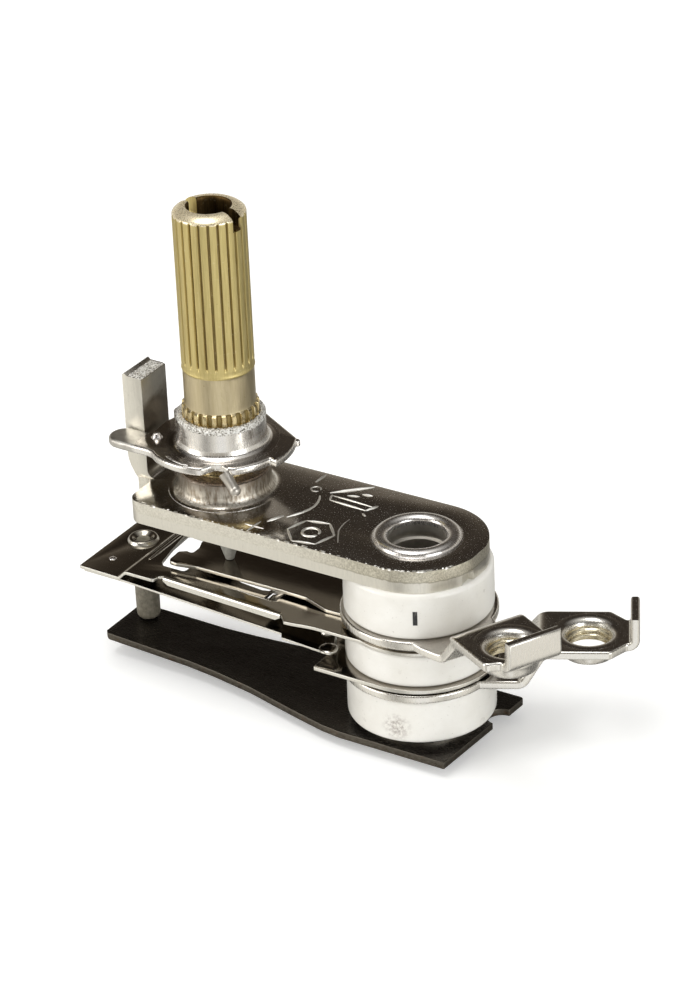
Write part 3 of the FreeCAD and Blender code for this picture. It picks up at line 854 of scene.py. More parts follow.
def shaft_profile():
    """(radius, z) from the lower bore, up the outside and down the upper bore."""
    low = box_mm("control_shaft")[0][2]
    profile = [(1.0, low + 1.9), (1.0, low + 0.1), (1.08, low), (2.12, low),
               (2.30, low + 0.14), (2.46, low + 0.3)]
    profile += [(2.48, low + 0.3 + 0.1 * k) for k in range(1, 57)]
    profile += [(2.48, 2.75), (3.10, 3.0), (3.17, 3.1), (3.17, 6.98), (3.18, 7.01), (3.20, 7.10),
                (3.21, 7.5), (3.20, 7.88), (3.10, 7.99), (2.965, 8.05), (2.95, 8.15)]
    profile += [(2.95, 8.15 + 0.25 * k) for k in range(1, 12)]
    profile += [(2.95, 11.12), (2.962, 11.18), (3.01, 11.24), (3.03, 11.31), (3.01, 11.38),
                (2.985, 11.45), (2.99, 11.7)]
    profile += [(3.0, 11.8 + 0.1 * k) for k in range(0, 9)]
    profile += [(3.0, 12.6 + 1.02 * k) for k in range(1, 12)]
    profile += [(3.0, 24.30), (3.0, 24.60), (3.0, 24.76), (2.99, 24.84), (2.96, 24.91),
                (2.90, 24.98), (2.80, 25.07), (2.68, 25.16), (2.54, 25.25), (2.42, 25.31),
                (2.28, 25.355), (2.12, 25.385), (2.00, 25.395), (1.90, 25.38), (1.83, 25.32),
                (1.79, 25.22), (1.78, 25.0), (1.78, 22.0), (1.78, 16.6), (1.6, 16.5),
                (0.0, 16.1), (0.0, low + 1.75)]
    return profile


def slot_cutter():
    """Bar across the top of the shaft."""
    cos, sin = math.cos(SLOT_TURN), math.sin(SLOT_TURN)
    outline = [(-5, -0.45), (5, -0.45), (5, 0.45), (-5, 0.45)]
    mesh = sheet_mesh("slot_cut", [outline], 6.0, edge=0.05, res=1)
    return shape(mesh, lambda x, y, z: (SHAFT_X + x * cos - y * sin, x * sin + y * cos, z + 27.0))


def slotted_shaft():
    mesh = turned_mesh("shaft_m", shaft_profile(), 480, SHAFT_X, radius_at=shaft_radius)
    finish_mesh(mesh, 40)
    uncut = add_object("shaft_tmp", mesh)
    cut = slot_cutter()
    finish_mesh(cut, 40)
    cutter = add_object("slot_cut_o", cut)
    boolean = uncut.modifiers.new("slot", "BOOLEAN")
    boolean.operation = "DIFFERENCE"
    boolean.object = cutter
    boolean.solver = "EXACT"
    bpy.context.view_layer.update()
    depsgraph = bpy.context.evaluated_depsgraph_get()
    slotted = bpy.data.meshes.new_from_object(uncut.evaluated_get(depsgraph))
    slotted.name = "control_shaft_mesh"
    bpy.data.objects.remove(uncut)
    bpy.data.objects.remove(cutter)
    return slotted


def shaft_finish(face):
    """Material slot for a face of the shaft: its place in SHAFT_FINISHES."""
    x, y, z = face.center / MM
    radius = math.hypot(x - SHAFT_X, y)
    across = abs(-(x - SHAFT_X) * math.sin(SLOT_TURN) + y * math.cos(SLOT_TURN))
    if radius < 1.9 and z > 12:
        return 3
    if z > 23.5 and across < 0.47 and (x > SHAFT_X or face.normal.z > 0.5):
        return 3
    if 7.04 < z < 8.02 and radius < 3.07:
        return 4
    if z < 8.02:
        return 2
    if z < 11.2:
        return 1
    if z > 24.78 and face.normal.z > 0.05:
        return 5
    if 12.1 < z < 24.7 and groove(math.atan2(y, x - SHAFT_X) % (2 * math.pi)) > 0.45:
        return 4
    return 0


SHAFT_FINISHES = (BRASS, BRASS_BAND, BRASS_KNURL, BRASS_BORE_SHADE, BRASS_GROOVE_SHADE, BRASS_CHAMFER_SHEEN)
shaft = piece("shaft_body", slotted_shaft(), SHAFT_FINISHES[0], "brass_turned", "shaft",
              replaces=("control_shaft",), smooth=38)
for material in SHAFT_FINISHES[1:]:
    shaft.data.materials.append(material)
for face in shaft.data.polygons:
    face.material_index = shaft_finish(face)

# ceramic tip under the shaft
tip_lo, tip_hi = box_mm("shaft_tip_bead")
bottom, top = tip_lo[2], tip_hi[2]
profile = rounded([(0.0, top), (0.0, bottom), (0.36, bottom, 0.12), (0.86, bottom + 1.62, 0.25),
                   (0.95, bottom + 1.85, 0.2), (0.95, top, 0.05)])
piece("tip", turned_mesh("tip", profile, 64, SHAFT_X), TIP_CERAMIC, "ceramic_tip", "shaft_lift",
      replaces=("shaft_tip_bead",), smooth=50)

# ---------------------------------------------------------------- stop disc
DISC_BOTTOM, DISC_TOP = 3.65, 4.40
# outline (x, y, rounding) from the shaft axis, clockwise from the +x +y side
outline = [(5.3, 3.1, 0.25)]
outline += [polar(6.1, a) for a in (24, 20, 16, 12, 8, 4, 0, -4, -8, -10.5)]
outline += [(*polar(6.1, -11.2), 0.1), (*polar(5.46, -11.6), 0.1)]
outline += [polar(5.44, a) for a in (-15, -20, -25, -30, -35, -40, -45, -48)]
outline += [(3.17, -4.17, 0.15), (2.55, -3.98, 0.3), (1.92, -4.04, 0.3), (1.44, -5.08, 0.25)]
outline += [polar(5.47 + 0.6 * k / 11, -77 - 4.2 * k) for k in range(0, 12)]
outline += [(-4.0, -4.62, 0.3), (-4.5, -4.5, 0.6), (-7.3, -4.5)]
outline += arc(1.35, -105, -255, 16, -7.65, -3.15)
outline += [(-7.3, -1.84), (-6.3, -1.84, 0.3)]
outline += [polar(6.12, a) for a in (196, 190, 184, 178, 172, 166)]
outline += [polar(6.0, a) for a in (*range(160, 99, -5), 96, 92)]
outline += [(0.8, 5.66, 0.3)]
disc = sheet_mesh("disc", [rounded(outline, steps=4), circle(3.25, 72)], DISC_TOP - DISC_BOTTOM,
                  edge=0.27, res=5)
shape(disc, lambda x, y, z: (x + SHAFT_X, y, z + (DISC_BOTTOM + DISC_TOP) / 2))
piece("disc_plate", disc, NICKEL_DISC, "bright_nickel", "shaft", replaces=("stop_disc",),
      smooth=40)
profile = rounded([
    (3.19, 4.1), (4.72, 4.1), (4.72, 4.403, 0.004), (4.46, 4.412, 0.15), (4.14, 4.47, 0.3),
    (3.87, 4.66, 0.35), (3.73, 5.05, 0.4), (3.67, 5.7, 0.4), (3.66, 6.86, 0.16),
    (3.58, 6.97, 0.1), (3.19, 6.99)], steps=7)
piece("disc_collar", turned_mesh("collar", profile, 144, SHAFT_X), NICKEL_DISC, "bright_nickel",
      "shaft", smooth=40)


def shaft_point(radius, angle, z):
    return SHAFT_X + radius * math.cos(angle), radius * math.sin(angle), z


def grain_at(angle, density, level):
    return noise.noise(Vector((math.cos(angle) * density, math.sin(angle) * density, level)))


def crest_row(angle, inner, outer, z, swing, density, level, middle, rim):
    """Six rough points across the top of a collar; middle and rim shift their heights."""
    row = []
    for k in range(6):
        rough = swing * grain_at(angle, density, k * 2.1 + level)
        lift = middle if 0 < k < 5 else rim
        row.append(shaft_point(inner + (outer - inner) * k / 5, angle, z + rough + lift))
    return row


# granular crest of the collar
sections = []
for i in range(180):
    angle = 2 * math.pi * i / 180
    section = crest_row(angle, inner=3.20, outer=3.66, z=6.985, swing=0.11, density=26, level=0,
                        middle=0.05, rim=-0.03)
    wall = 3.685 + 0.03 * grain_at(angle, 30, 11)
    for z in (6.86, 6.74, 6.62):
        section.append(shaft_point(wall + 0.05 * grain_at(angle, 34, z * 9), angle, z))
    section.append(shaft_point(3.64, angle, 6.42 + 0.26 * grain_at(angle, 14, 5)))
    section.append(shaft_point(3.20, angle, 6.85))
    sections.append(section)
piece("collar_crest", loft_mesh("collar_crest", sections, closed=True), GRAIN, "bright_nickel",
      "shaft", smooth=60)

# tongue turned down on the -y side, with a ball end
slant = Vector((0.95, -0.25, -1.0)).normalized()
root = Vector((SHAFT_X + 2.95, -4.22, 3.88))
path = [root + slant * (0.22 * k) for k in range(0, 8)]
tongue = rope_mesh("tongue", [root - slant * 0.02] + path,
                   [0.30, 0.54, 0.52, 0.49, 0.46, 0.44, 0.43, 0.43, 0.44])
BALL = 0.48
profile = [(0, BALL)]
profile += [(BALL * math.sin(math.radians(a)), BALL * math.cos(math.radians(a)))
            for a in range(15, 180, 15)]
ball = turned_mesh("ball", profile + [(0, -BALL)], 24)
for vert in ball.vertices:
    vert.co = vert.co + (path[-1] + slant * 0.10) * MM
piece("disc_tongue", join("tongue_j", tongue, ball), NICKEL_TUBE, "bright_nickel", "shaft",
      smooth=60)

# lip along the -y rim, beside the tongue
path = [(*polar(5.30, a, SHAFT_X), 4.34) for a in range(-88, -119, -3)]
piece("disc_lip", wire_mesh("disc_lip", path, radius=0.13, end_radius=0.05), NICKEL_RIVET,
      "bright_nickel", "shaft", smooth=60)

# three nubs: a pip and a tab on the disc, and a tab standing at its -x edge
profile = rounded([(0, 4.2), (0.52, 4.36), (0.40, 4.50, 0.12), (0.24, 4.80, 0.15), (0, 4.84)],
                  steps=4)
piece("disc_nub_a", turned_mesh("disc_nub_a", profile, 32, SHAFT_X - 5.0, -2.3), NICKEL_RIVET,
      "bright_nickel", "shaft", smooth=50)
outline = rounded([(4.8, 2.55, 0.1), (5.55, 2.55, 0.25), (5.78, 2.85, 0.25), (5.55, 3.12, 0.25),
                   (4.8, 3.12, 0.1)], steps=4)
nub = sheet_mesh("nub_b", [outline], 0.52, edge=0.1)
shape(nub, lambda x, y, z: (x + SHAFT_X, y, z + 4.02))
piece("disc_nub_b", nub, NICKEL_DISC, "bright_nickel", "shaft", smooth=50)
outline = rounded([(-24.18, 4.2), (-23.32, 4.2), (-23.32, 5.2, 0.2), (-23.55, 5.4, 0.2),
                   (-24.0, 5.38, 0.2), (-24.18, 5.15, 0.15)], steps=4)
nub = sheet_mesh("nub_c", [outline], 0.9, edge=0.10)
shape(nub, lambda x, y, z: (x, 1.62 + z, y))
piece("disc_nub_c", nub, GRAIN, "bright_nickel", "shaft", smooth=50)


# ---------------------------------------------------------------- terminals
class CentreLine:
    """Side view (u, z) of a bent sheet, measured along its length."""

    def __init__(self, corners):
        self.line = rounded(corners, steps=10, closed=False)
        self.vectors = [Vector(point) for point in self.line]
        self.lengths = [0.0]
        for a, b in zip(self.line, self.line[1:]):
            self.lengths.append(self.lengths[-1] + math.dist(a, b))
        self.total = self.lengths[-1]

    def normal(self, i):
        along = tangent(self.vectors, i)
        return Vector((-along.y, along.x))

    def point(self, length, offset):
        """(u, z) at a length along the line and an offset across it."""
        lengths = self.lengths
        length = max(0.0, min(self.total - 1e-6, length))
        k = 0
        while k < len(lengths) - 2 and lengths[k + 1] < length:
            k += 1
        share = (length - lengths[k]) / max(1e-9, lengths[k + 1] - lengths[k])
        a, b = self.vectors[k], self.vectors[k + 1]
        spot = a + (b - a) * share
        normal = (self.normal(k) * (1 - share) + self.normal(k + 1) * share).normalized()
        return spot.x + normal.x * offset, spot.y + normal.y * offset

    def length_at(self, u):
        for k, (a, b) in enumerate(zip(self.line, self.line[1:])):
            if a[0] <= u <= b[0] + 1e-9 and b[0] > a[0]:
                share = (u - a[0]) / (b[0] - a[0])
                return self.lengths[k] + share * (self.lengths[k + 1] - self.lengths[k])
        return self.total


def screw_collar(name, x, y, top, thickness):
    """Extruded collar: funnel mouth, thread turns, rounded foot."""
    under = top - thickness
    foot = under - 1.15
    profile = [(2.66, under + 0.02), (2.66, top - 0.26), (2.90, top - 0.22), (2.90, top + 0.001),
               (2.88, top + 0.004), (2.60, top + 0.004), (2.42, top - 0.006),
               (2.28, top - 0.035), (2.17, top - 0.085), (2.06, top - 0.16), (1.95, top - 0.28),
               (1.87, top - 0.42), (1.83, top - 0.55)]
    level = top - 0.62
    while level > foot + 0.12:
        profile.append((1.82, level))
        level -= 0.06
    profile += [(1.84, foot + 0.06), (1.92, foot), (2.12, foot), (2.22, foot + 0.08),
                (2.30, foot + 0.4), (2.44, under - 0.45), (2.52, under - 0.15)]

    def thread(angle, radius, z):
        if abs(radius - 1.82) >= 1e-6:
            return radius
        phase = (angle / (2 * math.pi) + (z - top) / 0.50) % 1.0
        ridge = 1 - abs(2 * phase - 1)
        fade = min(1.0, (top - 0.55 - z) / 0.3)
        return radius + 0.06 - 0.21 * clamp((ridge - 0.2) / 0.55) * fade

    mesh = turned_mesh(name + "_boss", profile, 96, x, y, radius_at=thread)
    collar = piece(name + "_collar", mesh, NICKEL_TERMINAL, "terminal_nickel", "stack", smooth=45)
    collar.data.materials.append(THREAD_STEEL)
    for face in collar.data.polygons:
        centre = face.center / MM
        if math.hypot(centre.x - x, centre.y - y) < 1.9 and centre.z < top - 0.5:
            face.material_index = 1


def terminal(name, node, mount, head_top, thickness, plate_top, rear, end, ramp, neck, lug_half,
             lug_height, lug_shift=0.0):
    """Ring head, ramp, screw plate and upturned lug, running out along u to its screw mount.

    rear and end are u of the plate's start and end, ramp is (u, u) and neck is (u, half
    width, rounding). Lengths along the sheet are counted from u = -START.
    """
    START = 7.0
    HEAD_RADIUS = 6.5
    PLATE_HALF = 3.35
    mount_x, mount_y = mounts[mount]["pos_m"][:2]
    turn = math.atan2(mount_y, mount_x)
    hole = math.hypot(mount_x, mount_y) / MM
    head_z, plate_z = head_top - thickness / 2, plate_top - thickness / 2
    lug_u = end - thickness / 2
    line = CentreLine([(-START, head_z), (ramp[0] + 0.1, head_z, 0.9),
                       (ramp[1] + 0.1, plate_z, 0.9), (lug_u, plate_z, 0.62),
                       (lug_u, plate_top + lug_height)])
    length_at, total = line.length_at, line.total
    half = [(length_at(u), width, radius) for u, width, radius in neck[1:]]
    half += [(length_at(rear), PLATE_HALF, 0.35), (length_at(15.55), PLATE_HALF, 0.5),
             (length_at(end - thickness - 0.30), lug_half + 0.1, 0.35),
             (total - 0.001, lug_half, 0.12)]
    lug_start = length_at(end - thickness - 0.6)

    def side(rows, sign):
        return rounded([(s, sign * width + (lug_shift if s > lug_start else 0.0), radius)
                        for s, width, radius in rows], steps=4, closed=False)

    opening = math.degrees(math.asin(neck[0][1] / HEAD_RADIUS))
    outline = arc(HEAD_RADIUS, opening, 360 - opening, 60, START)
    outline += side(half, -1) + side(half[::-1], 1)
    loops = [outline, circle(BORE, 60, START), circle(2.62, 60, length_at(hole))]
    first, last = length_at(ramp[0]), length_at(ramp[1])
    cuts = [first - 1.0 + 0.12 * k for k in range(int((last - first + 2.0) / 0.12))]
    cuts += [length_at(end - thickness) - 1.0 + 0.08 * k for k in range(int(2.4 / 0.08))]
    mesh = sheet_mesh(name, loops, thickness, edge=0.21, res=4,
                      cuts=[cut for cut in cuts if cut < total - 0.02])
    cos, sin = math.cos(turn), math.sin(turn)

    def place(x, y, z):
        u, level = line.point(x, z)
        return u * cos - y * sin, u * sin + y * cos, level

    piece(name, shape(mesh, place), NICKEL_TERMINAL, "terminal_nickel", "stack",
          replaces=(node,), smooth=40)
    screw_collar(name, hole * cos, hole * sin, plate_top, thickness)


terminal("terminal_upper", "upper_terminal", "upper_terminal_screw", head_top=top_lo[2],
         thickness=0.78, plate_top=-3.10, rear=10.5, end=17.1, ramp=(8.0, 10.4),
         neck=[(5.31, 3.74, 0), (6.3, 3.6, 0.5), (8.2, 2.9, 0.8), (9.7, 2.72, 0.5)],
         lug_half=2.40, lug_height=2.0, lug_shift=0.35)
terminal("terminal_lower", "lower_terminal", "lower_terminal_screw", head_top=-11.15,
         thickness=0.75, plate_top=-8.80, rear=10.3, end=17.9, ramp=(8.3, 9.9),
         neck=[(5.0, 4.15, 0), (8.5, 4.15, 0.5), (9.6, 3.6, 0.4)], lug_half=1.9, lug_height=2.2)


# ---------------------------------------------------------------- flexing strips
def strip_mesh(name, loops, thickness, level, edge, cuts):
    """Sheet whose middle lies at level(x)."""
    mesh = sheet_mesh(name, loops, thickness, edge=edge, cuts=cuts)
    return shape(mesh, lambda x, y, z: (x, y, z + level(x)))


def headed(radius, half_width, strip):
    """Round head about the rivet that runs into a strip outline, and its bore."""
    opening = math.degrees(math.asin(half_width / radius))
    return [arc(radius, -(180 - opening), 180 - opening, 64) + strip, circle(BORE, 60)]


# adjusting arm: (x, y, rounding), out along +y, round the notched end and back along -y
arm_lo, arm_hi = box_mm("adjusting_arm")
arm_z = (arm_lo[2] + arm_hi[2]) / 2
outline = rounded([
    (-6.9, 3.4, 0.5), (-9.4, 2.5, 0.8), (-12.0, 2.4, 1.5), (-20.3, 2.45, 1.5), (-22.0, 2.8, 0.3),
    (-22.2, 2.5, 0.2), (-22.2, 1.2, 0.2), (-21.85, 0.34, 0.2), (-21.85, -0.72, 0.25),
    (-22.45, -0.6, 0.25), (-23.05, -1.0, 0.2), (-22.98, -2.4, 0.25), (-22.75, -2.75, 0.3),
    (-22.1, -2.8, 0.5), (-20.3, -2.45, 1.5), (-12.0, -2.4, 1.5), (-9.4, -2.5, 0.8),
    (-6.9, -3.4, 0.5)], steps=4, closed=False)
cuts = [-6.3 - 0.45 * k for k in range(0, 24)] + [-18.5 + 0.2 * k for k in range(-6, 7)]
arm = strip_mesh("arm", headed(6.0, 3.4, outline), arm_hi[2] - arm_lo[2], lambda x: arm_z,
                 edge=0.05, cuts=cuts)
# the arm carries the darker strip steel, painted shade under the plate
piece("arm", arm, STRIP_ARM_SHADED, "spring_steel", blend=("stack", "adjusting_arm", FLEX_X, -15.0),
      replaces=("adjusting_arm", "adjusting_arm_root"))

# carrier: levels of its middle, from the root to the lower end plate
pin_lo, pin_hi = box_mm("push_pin")
pin_x, pin_y = (pin_lo[0] + pin_hi[0]) / 2, (pin_lo[1] + pin_hi[1]) / 2
pin_hole = circle(0.76, 24, pin_x, pin_y)
root_lo, root_hi = box_mm("carrier_arm_root")
CARRIER_THICK = 0.30
CARRIER_ROOT = (root_hi[2] + root_lo[2]) / 2
CARRIER_FREE = -7.56 - CARRIER_THICK / 2
CARRIER_END = -8.30 - CARRIER_THICK / 2
FLANGE_END, FLANGE_START = -22.4, -10.4
free_top = CARRIER_FREE + CARRIER_THICK / 2
end_top = CARRIER_END + CARRIER_THICK / 2


def carrier_z(x):
    if x > -6.3:
        return CARRIER_ROOT
    if x > -9.6:
        return CARRIER_ROOT + (CARRIER_FREE - CARRIER_ROOT) * smooth_step((-6.3 - x) / 3.3)
    if x > -25.62:
        return CARRIER_FREE
    return CARRIER_FREE + (CARRIER_END - CARRIER_FREE) * smooth_step((-25.62 - x) / 1.0)


def carrier_flange(side):
    """Edge turned down along one side; side is -1 or 1 in y."""
    sections = []
    for k in range(25):
        x = FLANGE_START + (FLANGE_END - FLANGE_START) * k / 24
        outer = 5.0 + (4.45 - 5.0) * k / 24
        lift = 0.30 if k in (0, 24) else 0.0
        bend = [(outer - 0.30 + 0.30 * math.sin(math.radians(a)),
                 free_top - 0.30 + 0.30 * math.cos(math.radians(a)))
                for a in (20, 40, 60, 80, 90)]
        section = [(outer - 0.60, free_top - 0.004), (outer - 0.30, free_top - 0.002), *bend,
                   (outer, free_top - 0.68 + lift), (outer - 0.06, free_top - 0.735 + lift),
                   (outer - 0.24, free_top - 0.735 + lift), (outer - 0.29, free_top - 0.68 + lift),
                   (outer - 0.29, free_top - 0.36), (outer - 0.36, free_top - 0.296),
                   (outer - 0.60, free_top - 0.296)]
        sections.append([(x, side * y, z) for y, z in section])
    return loft_mesh("fl%d" % side, sections)


half = [(-9.5, 5.8, 0.5), (-10.25, 5.0, 0.3), (FLANGE_START, 4.72, 0.1), (FLANGE_END, 4.18, 0.1),
        (FLANGE_END - 0.32, 4.5, 0.15), (FLANGE_END - 0.5, 5.15, 0.25), (-26.6, 5.15, 0.5),
        (-30.6, 5.0, 0.12)]
outline = rounded(half + [(x, -y, r) for x, y, r in reversed(half)], steps=4, closed=False)
windows = [
    rounded([(-24.9, 2.9, 0.3), (-24.3, -0.4, 0.4), (-23.9, -2.3, 0.5), (-23.45, -2.75, 0.3),
             (-21.3, -2.75, 0.3), (-21.3, 2.9, 0.3)], steps=4),
    rounded([(-17.7, 2.3, 0.3), (-17.7, -1.5, 0.5), (-16.0, -2.05, 0.8), (-13.8, -2.3, 0.6),
             (-13.2, -2.1, 0.15), (-13.2, 2.3, 0.3)], steps=4),
    [(-12.98, -3.34), (-11.82, -3.40), (-11.82, -1.90), (-12.98, -1.95)]]
cuts = [-6.3 - 0.4 * k for k in range(0, 16)] + [-25.4 - 0.1 * k for k in range(0, 15)]
carrier = strip_mesh("carrier", headed(6.2, 5.8, outline) + [pin_hole] + windows, CARRIER_THICK,
                     carrier_z, edge=0.05, cuts=cuts)
parts = [carrier_flange(-1), carrier_flange(1)]
# two pressed ridges at the step and a long crease
for name, path, width, height, base_z in (
    ("r1", [(-25.08, -2.4), (-25.08, -1.2), (-25.10, 0.4), (-25.12, 2.0), (-25.14, 2.7)],
     0.34, 0.13, free_top),
    ("r2", [(-25.58, -2.2), (-25.58, -1.0), (-25.58, 0.6), (-25.58, 2.2), (-25.58, 2.8)],
     0.20, 0.08, free_top - 0.015),
    ("r3", [(-17.6, -3.10), (-16.1, -3.22), (-14.5, -3.36), (-12.9, -3.45), (-11.9, -3.5)],
     0.10, 0.035, free_top),
):
    parts.append(rib_mesh(name, path, width, height, base_z))
# lanced tab in the small window: x, two y and height of each section
sections = []
for x, y0, y1, lift in ((-12.95, -3.30, -1.98, -0.36), (-12.4, -3.33, -1.96, -0.19),
                        (-11.78, -3.36, -1.92, 0.004)):
    z = free_top + lift
    sections.append([(x, y0, z), (x, y1, z), (x, y1, z - 0.16), (x, y0, z - 0.16)])
parts.append(loft_mesh("tab", sections))
piece("carrier", join("carrier_j", carrier, *parts), STRIP, "spring_steel",
      blend=("stack", "carrier", FLEX_X, -11.5), replaces=("carrier_arm", "carrier_arm_root"))

# contact leaf with its welded foot
foot_lo, foot_hi = box_mm("contact_leaf_foot")
leaf_lo, leaf_hi = box_mm("contact_leaf")
leaf_thick = foot_hi[2] - foot_lo[2]
foot_z = (foot_hi[2] + foot_lo[2]) / 2
leaf_slope = (foot_lo[2] - leaf_lo[2]) / (leaf_hi[0] - WELD_X)


def leaf_z(x):
    return foot_z - max(0.0, x - WELD_X) * leaf_slope


outline = rounded([(-30.2, -4.9, 0.1), (-26.0, -4.95, 0.5), (-10.3, -4.95, 0.2),
                   (-10.0, -5.5, 0.2), (-5.25, -5.5, 0.25), (-5.2, -4.70, 0.05)],
                  steps=4, closed=False)
outline += arc(7.02, 180 + 42.0, 180 + 12.6, 12)
outline += [(-7.5, -1.3), (-7.5, 4.95), (-26.0, 4.95), (-30.2, 4.9)]
windows = [
    rounded([(-25.6, 4.2, 0.2), (-25.3, -1.0, 0.2), (-24.9, -1.4, 0.2), (-20.8, -1.4, 0.3),
             (-20.8, 4.2, 0.3)], steps=4),
    rounded([(-19.3, 4.2, 0.3), (-19.3, -0.9, 0.3), (-14.0, -0.9, 0.3), (-14.0, 4.2, 0.3)],
            steps=4)]
leaf = strip_mesh("leaf", [outline, pin_hole] + windows, leaf_thick, leaf_z, edge=0.03,
                  cuts=[WELD_X - 0.3 + 0.25 * k for k in range(0, 20)])
piece("leaf", leaf, STRIP_LEAF, "spring_steel",
      blend=("carrier", "contact_leaf", WELD_X, WELD_X + 4.0),
      replaces=("contact_leaf", "contact_leaf_foot"))
DOME_X, DOME_Y = -5.85, -4.85
top = leaf_z(DOME_X) + leaf_thick / 2
profile = rounded([(0, top - 0.10), (0.80, top - 0.10), (0.80, top + 0.02, 0.05),
                   (0.66, top + 0.13, 0.25), (0.36, top + 0.22, 0.3), (0, top + 0.25)], steps=6)
piece("leaf_dome", turned_mesh("leaf_dome", profile, 40, DOME_X, DOME_Y), STRIP_LEAF,
      "spring_steel", "contact_leaf", smooth=50)

# burr along the -x edge of the fixed contact blade
blade_lo, blade_hi = box_mm("fixed_contact_blade")
path = [(blade_lo[0] + 0.03 + 0.012 * math.sin(9 * k), -3.62 + 0.18 * k, blade_hi[2] - 0.01)
        for k in range(0, 21)]
piece("blade_burr", wire_mesh("blade_burr", path, radius=0.045, end_radius=0.02, sides=8), GRAIN,
      "spring_steel", "stack", smooth=60)

# bimetal: level at the stack, then rising evenly towards its -x end
bimetal_lo, bimetal_hi = box_mm("bimetal_strip")
root_lo, root_hi = box_mm("bimetal_root")
bimetal_end = bimetal_lo[0]
bimetal_thick = root_hi[2] - root_lo[2]
BEND_X = -9.5
BEND_HALF = 2.2


def bimetal_z(x):
    base = (root_lo[2] + root_hi[2]) / 2
    slope = (bimetal_hi[2] - root_hi[2]) / (BEND_X - bimetal_end)
    if x > BEND_X + BEND_HALF:
        return base
    if x > BEND_X - BEND_HALF:
        return base + slope * (BEND_X + BEND_HALF - x) ** 2 / (4 * BEND_HALF)
    return base + slope * (BEND_X - x)


outline = rounded([
    (5.5, -5.95, 0.15), (5.98, 1.22, 0.1), *arc(1.2, -100, -262, 16, 6.15, 2.4),
    (6.2, 3.6, 0.1), (6.35, 5.9, 0.3), (-4.5, 5.9, 1.0), (-6.2, 5.7, 1.5), (-10.5, 4.7, 4.0),
    (-14.5, 3.95, 4.0), (-18.5, 3.4, 4.0), (-21.5, 3.1, 4.0), (-29.8, 2.86, 0.3),
    (bimetal_end, 2.5, 0.15), (bimetal_end, -2.5, 0.15), (-29.8, -2.85, 0.4),
    (-21.5, -3.0, 4.0), (-18.5, -3.25, 4.0), (-14.5, -3.82, 4.0), (-10.5, -4.75, 4.0),
    (-6.2, -5.75, 1.5), (-4.5, -5.95, 1.0)])
bimetal = sheet_mesh("bimetal", [outline, circle(3.06, 60)], bimetal_thick, edge=0.07,
                     cuts=[-6.0 - 0.5 * k for k in range(0, 48)])
# 0 at the lower face and 1 at the upper, for the colour of the two metals
layers = [vert.co.z / bimetal_thick + 0.5 for vert in bimetal.vertices]
shape(bimetal, lambda x, y, z: (x, y, z + bimetal_z(x)))
bimetal.attributes.new("layer", "FLOAT", "POINT").data.foreach_set("value", layers)
piece("bimetal", bimetal, BIMETAL, "bimetal_dark", blend=("stack", "bimetal", FLEX_X, -14.0),
      replaces=("bimetal_strip", "bimetal_root"))

# rolled collar round the pin's head
profile = rounded([
    (0.50, end_top + 0.02), (0.52, end_top - 0.01), (1.38, end_top - 0.01),
    (1.36, end_top + 0.06, 0.05), (1.20, end_top + 0.30, 0.2), (0.98, end_top + 0.34, 0.15),
    (0.74, end_top + 0.16, 0.2)])
piece("pin_collar", turned_mesh("pin_collar", profile, 72, pin_x, pin_y), STRIP, "bright_nickel",
      "carrier", replaces=("pin_ferrule",), smooth=50)

# push pin: rounded foot, shoulder under the leaf, thin neck through leaf and carrier
bottom, shoulder = pin_lo[2], foot_lo[2]
profile = rounded([
    (0, bottom), (0.45, bottom + 0.01, 0.3), (0.86, bottom + 0.10, 0.35),
    (1.03, bottom + 0.40, 0.5), (1.05, bottom + 2.5), (1.05, shoulder - 0.04, 0.1),
    (0.98, shoulder - 0.005), (0.74, shoulder - 0.005), (0.74, end_top),
    (0.52, end_top + 0.08, 0.05), (0.30, end_top + 0.02, 0.1), (0, end_top)])
piece("pin", turned_mesh("pin", profile, 64, pin_x, pin_y), PIN_CERAMIC, "pin_ceramic",
      "carrier", replaces=("push_pin",), smooth=50)

# ---------------------------------------------------------------- stamped marks
HEX_X, HEX_Y = 10.55, -3.45
# (width, height, path), with the path measured from the shaft axis
MARKS = [
    # plus sign and the turning arc round the shaft
    (0.1728, 0.088, [(5.02, -4.73), (5.45, -4.76), (6.2, -4.77), (6.82, -4.73)]),
    (0.1872, 0.104, [(5.83, -5.60), (5.86, -5.2), (5.93, -4.3), (5.96, -3.82)]),
    (0.3024, 0.128, [(6.42, -3.58), (6.58, -3.2), (6.86, -2.6), (7.09, -2.13)]),
    (0.1872, 0.104, [(7.42, -2.23), (7.80, -1.62), (8.12, -1.04), (8.38, -0.3), (8.47, 0.38),
                     (8.36, 1.1), (8.16, 1.7), (7.9, 2.17)]),
    (0.216, 0.104, [(6.33, 4.02), (6.36, 4.5), (6.40, 5.1), (6.43, 5.6)]),
    (0.1296, 0.056, arc(0.42, 0, 330, 12, 7.0, 3.0)),
    # plain frame with two bars, and short strokes beside it
    (0.2592, 0.12, [(8.37, 2.98), (9.2, 3.75), (10.2, 4.7), (11.1, 5.54)]),
    (0.1584, 0.088, [(8.9, 2.69), (10.2, 2.65), (11.5, 2.58), (12.79, 2.52)]),
    (0.2016, 0.104, [(9.03, 1.93), (10.2, 1.86), (11.4, 1.80), (12.59, 1.73)]),
    (0.1728, 0.088, [(8.75, 2.75), (8.8, 2.5), (8.9, 2.2), (9.03, 1.93)]),
    (0.2448, 0.12, [(12.59, 1.75), (12.75, 2.1), (12.95, 2.5), (13.1, 2.85)]),
    (0.1728, 0.088, [(9.9, 3.25), (10.25, 3.35), (10.6, 3.45), (10.9, 3.55)]),
    (0.216, 0.104, [(10.9, 4.0), (11.2, 4.05), (11.5, 4.1), (11.8, 4.15)]),
    (0.2016, 0.088, [(12.6, 1.2), (12.75, 1.1), (12.9, 1.0), (13.05, 0.9)]),
]
